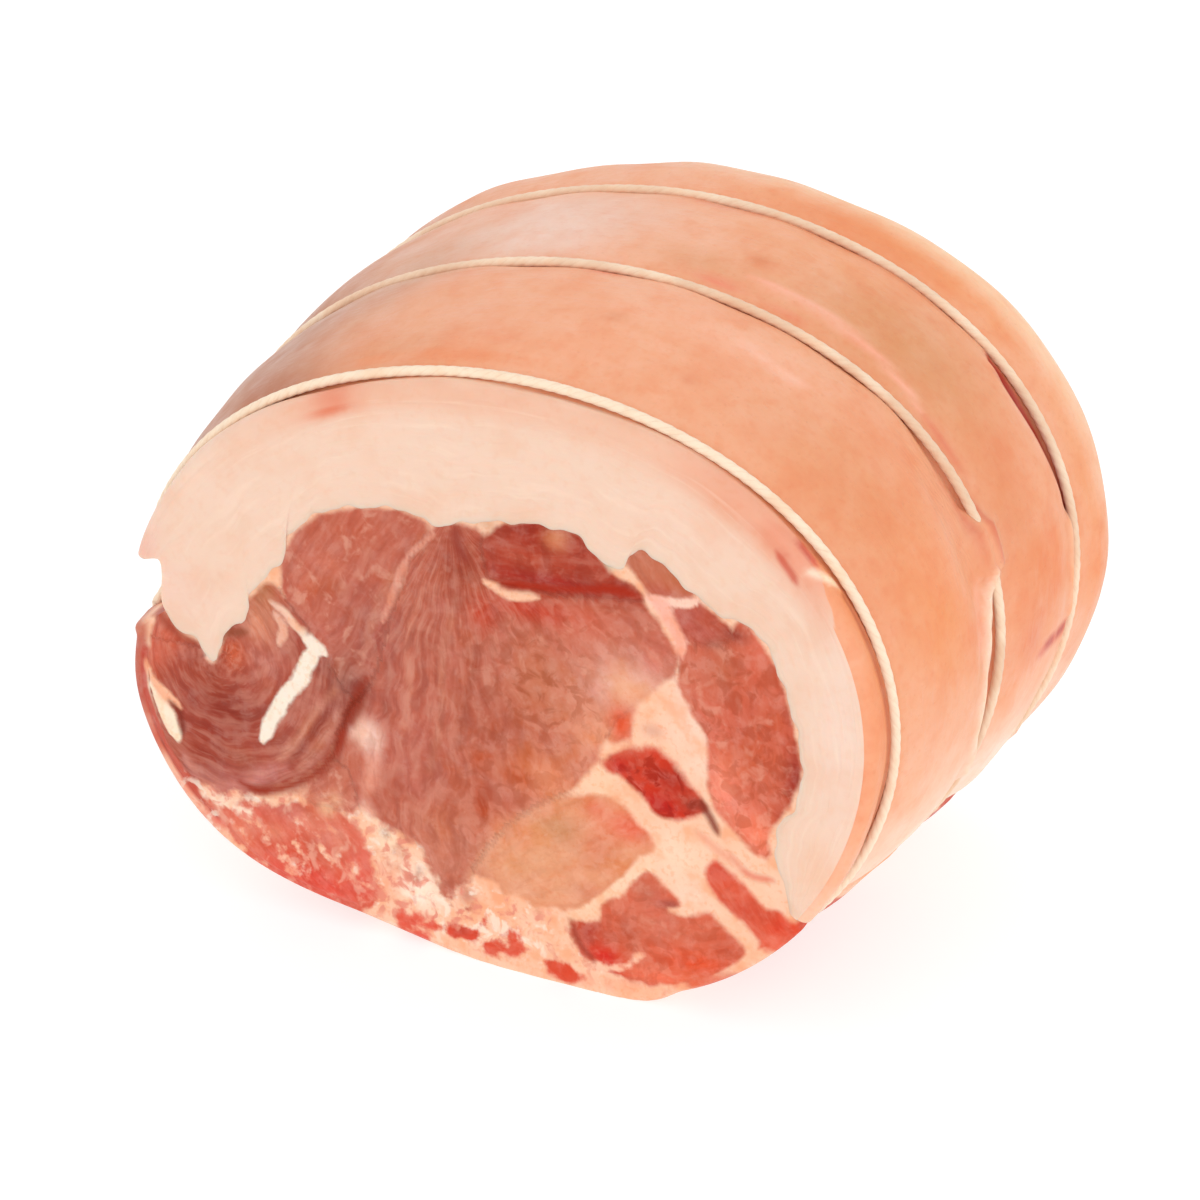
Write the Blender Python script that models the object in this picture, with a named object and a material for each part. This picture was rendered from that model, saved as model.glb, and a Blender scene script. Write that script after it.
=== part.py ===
"""A raw pork joint: boned shoulder, rolled with its rind outside and tied with three loops of twine.

The roll lies along Y with its cut face towards -Y. A section of it is an oval that grows a little
towards the back. The fat cap, with the rind on it, wraps the lean core over the top from the left
side to the lower right, and the lean shows below. Everything is in metres, with +Z up.
"""
import math

import bmesh
import bpy
import numpy as np
from mathutils import Matrix, Vector

# The whole roll
LENGTH = 0.094            # from cut face to cut face
MEAN_RADIUS = 0.063       # of the section at the front cut
CENTRE_HEIGHT = 0.0539    # of the section's centre above its lowest point, at the front cut
SECTION_LOBES = {         # what makes the round an oval, then egg-shaped, then square and uneven
    2: (0.00935, 0.0006),
    3: (-0.0012, -0.0009),
    4: (0.0001, 0.0009),
    5: (0.0002, 0.0002),
}
SECTION_SWELLS = ((182, 7, -0.0022), (217, 14, 0.0012))   # degrees, width in degrees, height
GROWTH = 0.248            # share by which the section would grow over the whole length
GROWTH_EASE = 0.134       # share of that growth that eases off towards the back
SAG = 0.0010              # how far the roll has settled under its weight
FLAT_BELOW = 0.0009       # what is lower than this lies flat on the table
SETTLED_ABOVE = 0.0038    # what is higher than this keeps its height
MIDDLE_X = 0.0008         # of the section's centre, so that the roll's box is centred
FRONT_Y = -0.0465         # of the front cut on the section's centre line

# Edges of the two cut faces
FRONT_ROUND = 0.0018
BACK_ROUND = 0.0120
BACK_PINCH = 0.0075       # how far the back edge draws in over that length

# Twine: where each loop crosses the centre line, and how the plane of each loop and cut leans
TWINE_RADIUS = 0.0012
TWINE_SLACK = 0.0001      # room for its straight stretches over the round skin
TWINE_NAMES = ("string_front", "string_middle", "string_back")
TWINE_DEPTHS = (0.0078, 0.0423, 0.0732)
LEAN_DEPTHS = (0.0, 0.0078, 0.0423, 0.0732, 0.094)
LEAN_ACROSS = (0.010, 0.010, 0.002, -0.014, -0.014)
LEAN_UPWARD = (0.040, -0.048, -0.006, 0.014, 0.014)
VALLEY_DEPTH = 0.0016     # the soft dip that each loop draws into the roll
VALLEY_WIDTH = 0.0062
BED_DEPTH = 0.0009        # the narrow bed that the twine itself lies in
BED_WIDTH = 0.0019
UNDER_BED_DEPTH = 0.0030  # under the roll the twine is pressed in whole
UNDER_BED_WIDTH = 0.0026
KNOT_ANGLES = (203, 198, 208)   # degrees round from +X towards +Z: low on the left side
KNOT_SIZE = (0.0034, 0.0030, 0.0022)   # half sizes: round the roll, along it, out of it
KNOT_LIFT = 0.0034        # of the knot's middle over the skin
TAIL_RADIUS = 0.0010
TAIL_LENGTHS = ((0.011, 0.015), (0.016, 0.012), (0.013, 0.010))
TAIL_TURN = 550           # degrees round the roll for each metre of tail
TAIL_DRIFT = 0.7          # how far the tail runs along the roll for each length of its own
TAIL_STEPS = 5
TAIL_OFFSET = 0.0015      # each tail starts this far round from the knot's middle
TAIL_RISE = 0.0024        # of the tail over the skin, where it leaves the knot
TAIL_FALL = 0.4           # how fast it comes down to the skin

# The fat cap, at the front cut, in the section's own plane
CAP_START = -26.6         # degrees: the rind's edge at the lower right
CAP_END = 171.6           # degrees: the rind's edge on the left side
CAP_END_STEPS = ((-0.0657, 0.0645), (-0.0655, 0.0577))   # the end of the cap on the left
CAP_LINE = (              # between fat and lean, from the left shoulder to the lower right
    (-0.0648, 0.0550), (-0.0600, 0.0508), (-0.0548, 0.0474), (-0.0524, 0.0548),
    (-0.0440, 0.0650), (-0.0396, 0.0720), (-0.0330, 0.0793), (-0.0240, 0.0826),
    (-0.0170, 0.0838), (-0.0100, 0.0822), (-0.0030, 0.0843), (0.0085, 0.0860),
    (0.0168, 0.0855), (0.0232, 0.0802), (0.0285, 0.0853), (0.0372, 0.0800),
    (0.0430, 0.0768), (0.0500, 0.0748), (0.0550, 0.0658), (0.0583, 0.0550),
    (0.0580, 0.0462), (0.0546, 0.0402), (0.0548, 0.0340), (0.0584, 0.0250),
)
LINE_DRIFT = 0.07         # how far the line wanders by the back, as a share of its radius
DRIFT_FADE = 0.010        # fat thinner than this wanders less
DRAW_FADE = 0.030         # how far under the skin the twine and the rounded ends are still felt
LEAN_ENDS = (182.5, 331.2)   # degrees: where the lean's outer side starts and ends
GAP = 0.0003

# Steps of the mesh
LONG_STRETCH = 0.0088     # of the line with the lean, which then gets a point halfway
CAP_STEPS = 32
LEAN_STEPS = 22
TWINE_SIDES = 6
SHARP_ANGLE = math.radians(35)
NEAR_TWINE = (-0.0034, -0.0015, 0.0, 0.0015, 0.0034)
BETWEEN = (0.0, 0.0006, 0.0018, 0.0180, 0.0260, 0.0335, 0.0510, 0.0590, 0.0665,
           0.0810, 0.0870, 0.0912, 0.0933, 0.0940)


def section_radius(angle):
    """Radius of the front section at an angle, before the twine draws it in."""
    radius = MEAN_RADIUS
    for lobes, (along_cos, along_sin) in SECTION_LOBES.items():
        radius += along_cos * math.cos(lobes * angle) + along_sin * math.sin(lobes * angle)
    for middle, width, height in SECTION_SWELLS:
        away = (math.degrees(angle) - middle + 180) % 360 - 180
        radius += height * math.exp(-(away / width) ** 2)
    return radius


def growth(depth):
    """How many times larger than at the front the section is at this depth."""
    share = depth / LENGTH
    return 1 + GROWTH * share - GROWTH_EASE * share * share


def plane_y(x, z, depth):
    """Where the leaning plane of the section at this depth lies, over a point of the section."""
    across = np.interp(depth, LEAN_DEPTHS, LEAN_ACROSS)
    upward = np.interp(depth, LEAN_DEPTHS, LEAN_UPWARD)
    return FRONT_Y + depth + across * x + upward * (z - CENTRE_HEIGHT)


def dip(point, deepest, width):
    """A smooth dip under each loop of twine."""
    x, y, z = point
    away = [(y - plane_y(x, z, loop)) / width for loop in TWINE_DEPTHS]
    return sum(deepest * math.exp(-distance * distance) for distance in away)


def rounding(distance, reach, inset):
    """How far a rounded edge draws in at a distance from the cut face."""
    left = max(0.0, 1 - max(0.0, distance) / reach)
    return inset * (1 - math.sqrt(1 - left * left))


def drawn_in(point):
    """How far the twine and the rounded ends draw the skin in at a point."""
    x, y, z = point
    inset = dip(point, VALLEY_DEPTH, VALLEY_WIDTH) + dip(point, BED_DEPTH, BED_WIDTH)
    inset += rounding(y - plane_y(x, z, 0.0), FRONT_ROUND, FRONT_ROUND)
    return inset + rounding(plane_y(x, z, LENGTH) - y, BACK_ROUND, BACK_PINCH)


def settled(z):
    """A height of the roll after it has spread on the table: what is lowest lies flat on it."""
    if z >= SETTLED_ABOVE:
        return z
    share = max(0.0, (z - FLAT_BELOW) / (SETTLED_ABOVE - FLAT_BELOW))
    rise = SETTLED_ABOVE * (3 - 2 * share) * share ** 2
    return rise - (SETTLED_ABOVE - FLAT_BELOW) * (1 - share) * share ** 2


def over_bed(z, bed):
    """A height, held above the top of the twine's bed, which it meets in a soft curve."""
    soft = bed / 2
    above = z - bed
    if above >= soft:
        return z
    return bed + max(0.0, above + soft) ** 2 / (4 * soft)


def section_point(angle, radius, depth):
    """A point of the section at this depth, in its leaning plane and above what it rests on."""
    x = MIDDLE_X + radius * math.cos(angle)
    z = CENTRE_HEIGHT * growth(depth) - SAG + radius * math.sin(angle)
    bed = dip((x, plane_y(x, z, depth), z), UNDER_BED_DEPTH, UNDER_BED_WIDTH)
    z = over_bed(settled(z), bed)
    return Vector((x, plane_y(x, z, depth), z))


def skin(angle, depth):
    """A point on the outside of the roll."""
    radius = section_radius(angle) * growth(depth)
    radius -= drawn_in(section_point(angle, radius, depth))
    return section_point(angle, radius, depth)


def inner(point, depth):
    """A point of the front section that lies inside the roll, carried back to this depth."""
    x, z = point[0], point[1] - CENTRE_HEIGHT
    angle, radius = math.atan2(z, x), math.hypot(x, z)
    under_skin = section_radius(angle) - radius
    wander = LINE_DRIFT * min(1.0, under_skin / DRIFT_FADE) * depth / LENGTH
    radius *= growth(depth) * (1 + wander * math.cos(3 * angle + 0.8))
    felt = max(0.0, 1 - under_skin / DRAW_FADE)
    radius -= drawn_in(section_point(angle, radius, depth)) * felt
    return section_point(angle, radius, depth)


def smooth_line(points):
    """The points of an open line, with a rounded one halfway along each stretch."""
    points = [Vector((x, z)) for x, z in points]
    ends = [2 * points[0] - points[1]] + points + [2 * points[-1] - points[-2]]
    line = [points[0]]
    for before, start, end, after in zip(ends, ends[1:], ends[2:], ends[3:]):
        if (end - start).length > LONG_STRETCH:
            line.append((9 * (start + end) - before - after) / 16)
        line.append(end)
    return line


def shifted_line(line, distance):
    """The same line, moved sideways to its right by a distance."""
    moved = []
    for i, point in enumerate(line):
        along = (line[min(i + 1, len(line) - 1)] - line[max(i - 1, 0)]).normalized()
        moved.append(point + distance * Vector((along.y, -along.x)))
    return moved


def arc(start, end, steps):
    """Angles in radians from start to end, in degrees, both included."""
    return [math.radians(start + (end - start) * i / steps) for i in range(steps + 1)]


def stations():
    """Depths of the rings along the roll, closer together at each loop of twine."""
    near = [loop + step for loop in TWINE_DEPTHS for step in NEAR_TWINE]
    return sorted(near + list(BETWEEN))


def cap_ring(depth):
    """Outline of the fat cap at this depth: rind, left end, then the line with the lean."""
    outside = [skin(angle, depth) for angle in arc(CAP_START, CAP_END, CAP_STEPS)]
    end = [inner(step, depth) for step in CAP_END_STEPS]
    line = [inner(point, depth) for point in smooth_line(CAP_LINE)]
    return outside + end + line


def lean_ring(depth):
    """Outline of the lean at this depth: its bare outer side, then the line with the fat."""
    outside = [skin(angle, depth) for angle in arc(*LEAN_ENDS, LEAN_STEPS)]
    line = [inner(point, depth) for point in shifted_line(smooth_line(CAP_LINE), GAP)]
    return outside + line[::-1]


def material(name, colour, roughness):
    made = bpy.data.materials.new(name)
    made.use_nodes = True
    shader = made.node_tree.nodes["Principled BSDF"]
    shader.inputs["Base Color"].default_value = (*colour, 1)
    shader.inputs["Roughness"].default_value = roughness
    shader.inputs["Metallic"].default_value = 0.0
    return made


def add_object(name, mesh, its_material):
    """An object from a bmesh, its faces turned outwards, shaded smooth but for its sharp edges."""
    bmesh.ops.recalc_face_normals(mesh, faces=mesh.faces)
    data = bpy.data.meshes.new(name)
    mesh.to_mesh(data)
    mesh.free()
    data.shade_smooth()
    data.set_sharp_from_angle(angle=SHARP_ANGLE)
    data.materials.append(its_material)
    made = bpy.data.objects.new(name, data)
    bpy.context.scene.collection.objects.link(made)
    return made


def loft(rings, closed):
    """A solid through rings of points: its ends capped, or joined to each other when closed."""
    mesh = bmesh.new()
    around = mesh.verts.layers.int.new("around")
    bmesh.ops.create_circle(mesh, cap_ends=True, segments=len(rings[0]), radius=1)
    mesh.verts.ensure_lookup_table()
    for i, vertex in enumerate(mesh.verts):
        vertex[around] = i
        vertex.co = rings[0][i]
    first = cap = next(iter(mesh.faces))
    for ring in rings[1:]:
        grown = bmesh.ops.extrude_face_region(mesh, geom=[cap])["geom"]
        if cap is not first:
            bmesh.ops.delete(mesh, geom=[cap], context="FACES_ONLY")
        cap = next(item for item in grown if isinstance(item, bmesh.types.BMFace))
        for vertex in cap.verts:
            vertex.co = ring[vertex[around]]
    if closed:
        bmesh.ops.delete(mesh, geom=[first, cap], context="FACES_ONLY")
        bmesh.ops.remove_doubles(mesh, verts=mesh.verts, dist=0.00001)
    bmesh.ops.triangulate(mesh, faces=mesh.faces)
    return mesh


def frame_on_skin(angle, depth):
    """A point on the skin, with the directions round the roll, along it and out of it there."""
    step = math.radians(0.25)
    point = skin(angle, depth)
    round_it = (skin(angle + step, depth) - skin(angle - step, depth)).normalized()
    along = Vector((0, 1, 0))
    along = (along - along.dot(round_it) * round_it).normalized()
    return point, round_it, along, round_it.cross(-along)


def twine_ring(centre, side, out, radius):
    """One ring of the twine's tube about a centre."""
    ring = []
    for i in range(TWINE_SIDES):
        turn = 2 * math.pi * i / TWINE_SIDES
        ring.append(centre + radius * (math.cos(turn) * side + math.sin(turn) * out))
    return ring


def loop_of_twine(depth):
    """The closed loop that lies in its bed all round the roll."""
    rings = []
    turn = arc(CAP_START, CAP_END, CAP_STEPS) + arc(*LEAN_ENDS, LEAN_STEPS)
    for angle in turn + turn[:1]:
        point, _, along, out = frame_on_skin(angle, depth)
        lift = TWINE_RADIUS + GAP + TWINE_SLACK
        rings.append(twine_ring(point + lift * out, along, out, TWINE_RADIUS))
    return loft(rings, closed=True)


def knot(angle, depth):
    """The knot: a small flattened lump over the twine."""
    point, round_it, along, out = frame_on_skin(angle, depth)
    centre = point + KNOT_LIFT * out
    turned = Matrix((round_it, along, out)).transposed().to_4x4()
    mesh = bmesh.new()
    bmesh.ops.create_icosphere(mesh, subdivisions=1, radius=1)
    bmesh.ops.scale(mesh, vec=KNOT_SIZE, verts=mesh.verts)
    bmesh.ops.transform(mesh, matrix=Matrix.Translation(centre) @ turned, verts=mesh.verts)
    return mesh


def tail(angle, depth, length, way):
    """A cut end of the twine, which leaves the knot backwards over the skin, down (1) or up (-1)."""
    rings = []
    for i in range(TAIL_STEPS + 1):
        run = length * i / TAIL_STEPS
        here = angle + way * math.radians(TAIL_TURN * (run + TAIL_OFFSET))
        back = depth + TAIL_DRIFT * run + TAIL_RADIUS
        point, round_it, along, out = frame_on_skin(here, back)
        lift = GAP + TAIL_RADIUS + max(0.0, TAIL_RISE - TAIL_FALL * run)
        ahead = (along + way * round_it).normalized()
        side = ahead.cross(out).normalized()
        rings.append(twine_ring(point + lift * out, side, out, TAIL_RADIUS))
    return loft(rings, closed=False)


def join(whole, pieces):
    """Unites the pieces with the whole by Boolean, and keeps them only as hidden guides."""
    for mesh in pieces:
        piece = add_object(whole.name + "_guide", mesh, whole.data.materials[0])
        piece.hide_render = True
        piece.display_type = "WIRE"
        union = whole.modifiers.new("union", "BOOLEAN")
        union.operation = "UNION"
        union.solver = "EXACT"
        union.object = piece


def build():
    for old in list(bpy.data.objects):
        bpy.data.objects.remove(old)
    fat = material("fat_and_rind", (0.86, 0.60, 0.43), 0.42)
    lean = material("lean_pork", (0.50, 0.14, 0.09), 0.38)
    twine = material("cotton_twine", (0.90, 0.76, 0.52), 0.80)
    depths = stations()
    add_object("fat_cap", loft([cap_ring(depth) for depth in depths], closed=False), fat)
    add_object("lean", loft([lean_ring(depth) for depth in depths], closed=False), lean)
    for name, depth, turn, tails in zip(TWINE_NAMES, TWINE_DEPTHS, KNOT_ANGLES, TAIL_LENGTHS):
        angle = math.radians(turn)
        loop = add_object(name, loop_of_twine(depth), twine)
        join(loop, [knot(angle, depth), tail(angle, depth, tails[0], 1),
                    tail(angle, depth, tails[1], -1)])


build()
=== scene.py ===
import math

import bmesh
import bpy
import numpy as np
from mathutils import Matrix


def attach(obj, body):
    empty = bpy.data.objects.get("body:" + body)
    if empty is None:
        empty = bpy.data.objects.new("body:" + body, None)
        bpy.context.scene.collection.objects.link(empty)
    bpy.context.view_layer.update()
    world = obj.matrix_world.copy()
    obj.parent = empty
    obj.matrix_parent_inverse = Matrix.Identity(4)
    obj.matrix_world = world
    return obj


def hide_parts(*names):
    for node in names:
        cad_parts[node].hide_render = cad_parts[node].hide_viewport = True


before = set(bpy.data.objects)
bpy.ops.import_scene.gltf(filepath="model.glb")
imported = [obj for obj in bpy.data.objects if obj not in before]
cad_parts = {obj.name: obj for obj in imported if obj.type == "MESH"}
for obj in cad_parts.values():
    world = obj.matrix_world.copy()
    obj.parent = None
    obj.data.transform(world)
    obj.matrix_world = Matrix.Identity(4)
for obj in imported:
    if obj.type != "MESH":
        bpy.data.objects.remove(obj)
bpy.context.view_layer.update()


# ---------------------------------------------------------------- fat cap
# The pale back fat with the rind still on it, about 22 mm thick over the top. It is rolled round
# the lean from the left side to the lower right, and the front cut goes straight through both.

# Sizes are in metres, except where mm or degrees are named.
LENGTH = 0.094             # of the whole roll, from cut to cut
MEAN_RADIUS = 0.063        # of the section at the front cut
CENTRE_HEIGHT = 0.0539     # of its middle, over the table
CENTRE = (0, CENTRE_HEIGHT)
SECTION_LOBES = {2: (0.00935, 0.0006), 3: (-0.0012, -0.0009), 4: (0.0001, 0.0009), 5: (0.0002, 0.0002)}
SECTION_SWELLS = ((182, 7, -0.0022), (217, 14, 0.0012))    # degrees, width in degrees, height
GROWTH = 0.248             # share by which the section would grow on its way to the back cut
GROWTH_EASE = 0.134        # share that it falls short of this, most of all near the back
SAG = 0.0010               # that the whole roll sinks towards the table
FLAT_BELOW = 0.0009        # what was lower than this lies flat on the table
SETTLED_ABOVE = 0.0038     # what was higher than this keeps its height
MIDDLE_X = 0.0008          # of the section
FRONT_Y = -0.0465          # of the front cut, at the section's middle
TWINE_DEPTHS = (0.0078, 0.0423, 0.0732)   # of the three loops, behind the front cut
TILT_DEPTHS = (0.0, 0.0078, 0.0423, 0.0732, 0.094)
TILT_ACROSS = (0.010, 0.010, 0.002, -0.014, -0.014)    # slope of the section's plane to the right
TILT_UPWARD = (0.040, -0.048, -0.006, 0.014, 0.014)    # and upwards, at each of these depths
VALLEY = (0.0011, 0.0062)      # depth and width of the soft dip that each loop draws in
BED = (0.0011, 0.0012)         # and of the narrow bed that the twine presses
UNDER_BED = (0.0030, 0.0026)   # under the roll, where the twine is pressed in whole
FRONT_ROUND = 0.0018       # radius of the edge of the front cut
FRONT_FADE = 0.006         # under the skin, where this rounding no longer draws anything in
BACK_ROUND = 0.0120        # length over which the roll rounds off towards the back cut
BACK_PINCH = 0.0075        # how far its skin draws in there
DRAW_FADE = 0.030          # under the skin, where nothing is drawn in any more
LINE_DRIFT = 0.07          # share that the line with the lean wanders on its way back
DRIFT_FADE = 0.010         # under the skin, from where it wanders freely
CAP_START = -26.6          # degrees round the roll: the cap's end at the lower right
CAP_END = 171.6            # and its left end
CAP_END_STEPS = ((-0.0657, 0.0645), (-0.0655, 0.0577))   # corners of the ragged left end
# The line between fat and lean on the front cut, from left to right: across, and up.
CAP_LINE = (
    (-0.0648, 0.0550), (-0.0625, 0.0521), (-0.0588, 0.0512), (-0.0570, 0.0488), (-0.0548, 0.0477),
    (-0.0533, 0.0500), (-0.0522, 0.0540), (-0.0485, 0.0562), (-0.0472, 0.0612), (-0.0441, 0.0658),
    (-0.0407, 0.0690), (-0.0394, 0.0740), (-0.0350, 0.0787), (-0.0298, 0.0815), (-0.0240, 0.0828),
    (-0.0170, 0.0838), (-0.0100, 0.0822), (-0.0030, 0.0843), (0.0085, 0.0860),
    (0.0165, 0.0856), (0.0198, 0.0826), (0.0222, 0.0812), (0.0246, 0.0816), (0.0268, 0.0842),
    (0.0296, 0.0852), (0.0372, 0.0800), (0.0430, 0.0768), (0.0500, 0.0748),
    (0.0550, 0.0658), (0.0583, 0.0550), (0.0580, 0.0462), (0.0546, 0.0402), (0.0548, 0.0340),
    (0.0584, 0.0250),
)
LINE_WAVES = ((0.00026, 170, 0.4), (0.00013, 330, 1.9))   # height, radians over the line, start
LINE_FADE = 0.05           # share of the line over which these waves rise at either end
CAP_COLUMNS = 320          # of the mesh, along the band from the left end to the lower right
CAP_ROWS = 26              # through its thickness
CAP_ROW_EASE = 1.4         # above 1, the rows lie closer next to the rind
CAP_RING_STEP = 0.0013     # between its rings, where nothing calls for closer ones
CAP_NEAR_LOOP = (0, 0.5, 1.0, 1.6, 2.3, 3.1, 4.2)   # mm from each loop of twine to its closer rings
CAP_LEFT_SHARE = 0.10      # of the band that its ragged left end bends
EDGE_RINGS = 7             # of a mesh, round the edge of either cut
EVEN_RINGS = (0.013, 0.083)    # depths between which its rings are evenly spaced
LOOP_CLEAR = 0.005         # from these to each loop of twine, which has rings of its own
MM = 1000                  # millimetres to a metre
ROUND_SCALE = 1.22         # millimetres of skin for each degree round the roll
SHARP_ANGLE = math.radians(40)


def section_radius(angle):
    """Radius of the front section at an angle."""
    radius = MEAN_RADIUS + 0 * angle
    for lobes, (along_cos, along_sin) in SECTION_LOBES.items():
        radius = radius + along_cos * np.cos(lobes * angle) + along_sin * np.sin(lobes * angle)
    for middle, width, height in SECTION_SWELLS:
        away = (np.degrees(angle) - middle + 180) % 360 - 180
        radius = radius + height * np.exp(-(away / width) ** 2)
    return radius


def outer_side(degrees):
    """Points of the front section's outline at these angles."""
    angle = np.radians(degrees)
    return CENTRE + section_radius(angle)[..., None] * np.stack([np.cos(angle), np.sin(angle)], axis=-1)


def growth(depth):
    """How many times larger than at the front the section is at this depth."""
    share = depth / LENGTH
    return 1 + GROWTH * share - GROWTH_EASE * share * share


def plane_y(x, z, depth):
    """Where the leaning plane of the section at this depth lies, over a point of the section."""
    across = np.interp(depth, TILT_DEPTHS, TILT_ACROSS)
    upward = np.interp(depth, TILT_DEPTHS, TILT_UPWARD)
    return FRONT_Y + depth + across * x + upward * (z - CENTRE_HEIGHT)


def dip(x, y, z, deepest, width):
    """A smooth dip under each loop of twine."""
    away = [(y - plane_y(x, z, loop)) / width for loop in TWINE_DEPTHS]
    return sum(deepest * np.exp(-distance ** 2) for distance in away)


def rounding(distance, reach, inset):
    """How far a rounded edge draws in at a distance from the cut face."""
    left = np.clip(1 - distance / reach, 0, 1)
    return inset * (1 - np.sqrt(1 - left ** 2))


def over_bed(z, bed):
    """A height, held above the top of the twine's bed, which it meets in a soft curve."""
    soft = bed / 2 + 1e-9
    return np.where(z - bed >= soft, z, bed + np.maximum(0, z - bed + soft) ** 2 / (4 * soft))


def settled(z):
    """A height of the roll after it has spread on the table: what is lowest lies flat on it."""
    share = np.clip((z - FLAT_BELOW) / (SETTLED_ABOVE - FLAT_BELOW), 0, 1)
    rise = SETTLED_ABOVE * (3 - 2 * share) * share ** 2
    rise = rise - (SETTLED_ABOVE - FLAT_BELOW) * (1 - share) * share ** 2
    return np.where(z >= SETTLED_ABOVE, z, rise)


def section_point(angle, radius, depth):
    """Points of the section at these depths, in its leaning plane and above what it rests on."""
    x = MIDDLE_X + radius * np.cos(angle)
    z = CENTRE_HEIGHT * growth(depth) - SAG + radius * np.sin(angle)
    z = over_bed(settled(z), dip(x, plane_y(x, z, depth), z, *UNDER_BED))
    return x, plane_y(x, z, depth), z


def carried(across, height, depth, raised=0):
    """Points of the front section, carried back to these depths and drawn in by twine and ends."""
    angle = np.arctan2(height - CENTRE_HEIGHT, across)
    radius = np.hypot(across, height - CENTRE_HEIGHT)
    under_skin = np.maximum(0, section_radius(angle) - radius)
    wander = LINE_DRIFT * np.minimum(1, under_skin / DRIFT_FADE) * depth / LENGTH
    radius = radius * growth(depth) * (1 + wander * np.cos(3 * angle + 0.8))
    x, y, z = section_point(angle, radius, depth)
    front = rounding(y - plane_y(x, z, 0.0), FRONT_ROUND, FRONT_ROUND)
    inset = dip(x, y, z, *VALLEY) + dip(x, y, z, *BED)
    inset = inset + rounding(plane_y(x, z, LENGTH) - y, BACK_ROUND, BACK_PINCH)
    radius = radius - front * np.maximum(0, 1 - under_skin / FRONT_FADE)
    radius = radius - inset * np.maximum(0, 1 - under_skin / DRAW_FADE) + raised
    return np.stack(section_point(angle, radius, depth), axis=-1)


def curve_through(points, share):
    """Points at these shares of the length of a smooth curve through the given ones."""
    points = np.array(points, float)
    ends = np.vstack([2 * points[0] - points[1], points, 2 * points[-1] - points[-2]])
    steps = np.linspace(0, 1, 9)[:-1, None]
    runs = []
    for before, start, end, after in zip(ends, ends[1:], ends[2:], ends[3:]):
        bend = 2 * before - 5 * start + 4 * end - after
        twist = 3 * start - before - 3 * end + after
        runs.append(start + (steps * (end - before) + steps ** 2 * bend + steps ** 3 * twist) / 2)
    fine = np.vstack(runs + [points[-1:]])
    length = np.concatenate([[0], np.cumsum(np.linalg.norm(np.diff(fine, axis=0), axis=1))])
    return np.stack([np.interp(share * length[-1], length, column) for column in fine.T], axis=-1)


def fat_line(share):
    """Points of the line between fat and lean, with its small waves."""
    points = curve_through(CAP_LINE, share)
    nearby = 0.004
    run = curve_through(CAP_LINE, np.minimum(1, share + nearby))
    run = run - curve_through(CAP_LINE, np.maximum(0, share - nearby))
    out = np.stack([-run[:, 1], run[:, 0]], axis=-1) / np.linalg.norm(run, axis=1)[:, None]
    waves = sum(height * np.sin(often * share + start) for height, often, start in LINE_WAVES)
    return points + out * (waves * np.minimum(1, np.minimum(share, 1 - share) / LINE_FADE))[:, None]


def stations(step, near_loop):
    """Depths of a mesh's rings: fine round both edges and at each loop, coarser between."""
    quarter = 1 - np.cos(np.linspace(0, math.pi / 2, EDGE_RINGS))
    edges = [FRONT_ROUND * quarter, LENGTH - BACK_ROUND * quarter]
    loops = [loop + way * np.array(near_loop) / MM for loop in TWINE_DEPTHS for way in (-1, 1)]
    between = np.arange(*EVEN_RINGS, step)
    free = [depth for depth in between if min(abs(depth - loop) for loop in TWINE_DEPTHS) > LOOP_CLEAR]
    return np.unique(np.round(np.concatenate([*edges, *loops, free]), 6))


def fine_block(columns, rings, rows):
    """A cube whose six faces are cut into a grid, as a mesh, and its vertices' shares of 0 to 1."""
    block = bmesh.new()
    bmesh.ops.create_cube(block, size=1)
    bmesh.ops.translate(block, vec=(0.5, 0.5, 0.5), verts=block.verts)
    for axis, number in enumerate((columns, rings, rows)):
        along = [edge for edge in block.edges if abs(edge.verts[0].co[axis] - edge.verts[1].co[axis]) > 0.5]
        bmesh.ops.subdivide_edges(block, edges=along, cuts=number - 1, use_grid_fill=True)
    mesh = bpy.data.meshes.new("block")
    block.to_mesh(mesh)
    block.free()
    shares = np.empty(3 * len(mesh.vertices))
    mesh.vertices.foreach_get("co", shares)
    return mesh, shares.reshape(-1, 3)


def new_piece(name, mesh, material, body, node_name):
    """A piece of the joint in the scene, which stands for a node of the frame."""
    mesh.name = name
    mesh.shade_smooth()
    mesh.set_sharp_from_angle(angle=SHARP_ANGLE)
    mesh.materials.append(material)
    piece = bpy.data.objects.new(name, mesh)
    bpy.context.scene.collection.objects.link(piece)
    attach(piece, body)
    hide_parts(node_name)


def seen(red, green, blue):
    """A colour as it looks, 0 to 255, turned to the linear values that a shader takes."""
    return ((np.array([red, green, blue]) / 255 + 0.055) / 1.055) ** 2.4


def soft_step(low, high, value):
    """0 up to the low value, 1 from the high one on, and a soft step between."""
    share = np.clip((value - low) / (high - low), 0, 1)
    return share * share * (3 - 2 * share)


def spot(where, middle, reach):
    """A soft round or oval spot, 1 in its middle."""
    return np.exp(-(((where - middle) / reach) ** 2).sum(axis=1))


def line_distance(line, where):
    """Distance of each place from a line, and the share along it of its nearest point."""
    nearest, share = np.full(len(where), 1e9), np.zeros(len(where))
    for i, (start, end) in enumerate(zip(line, line[1:])):
        run = end - start
        along = np.clip((where - start) @ run / max(run @ run, 1e-12), 0, 1)
        distance = np.linalg.norm(where - start - along[:, None] * run, axis=1)
        closer = distance < nearest
        nearest = np.where(closer, distance, nearest)
        share = np.where(closer, (i + along) / (len(line) - 1), share)
    return nearest, share


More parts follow.
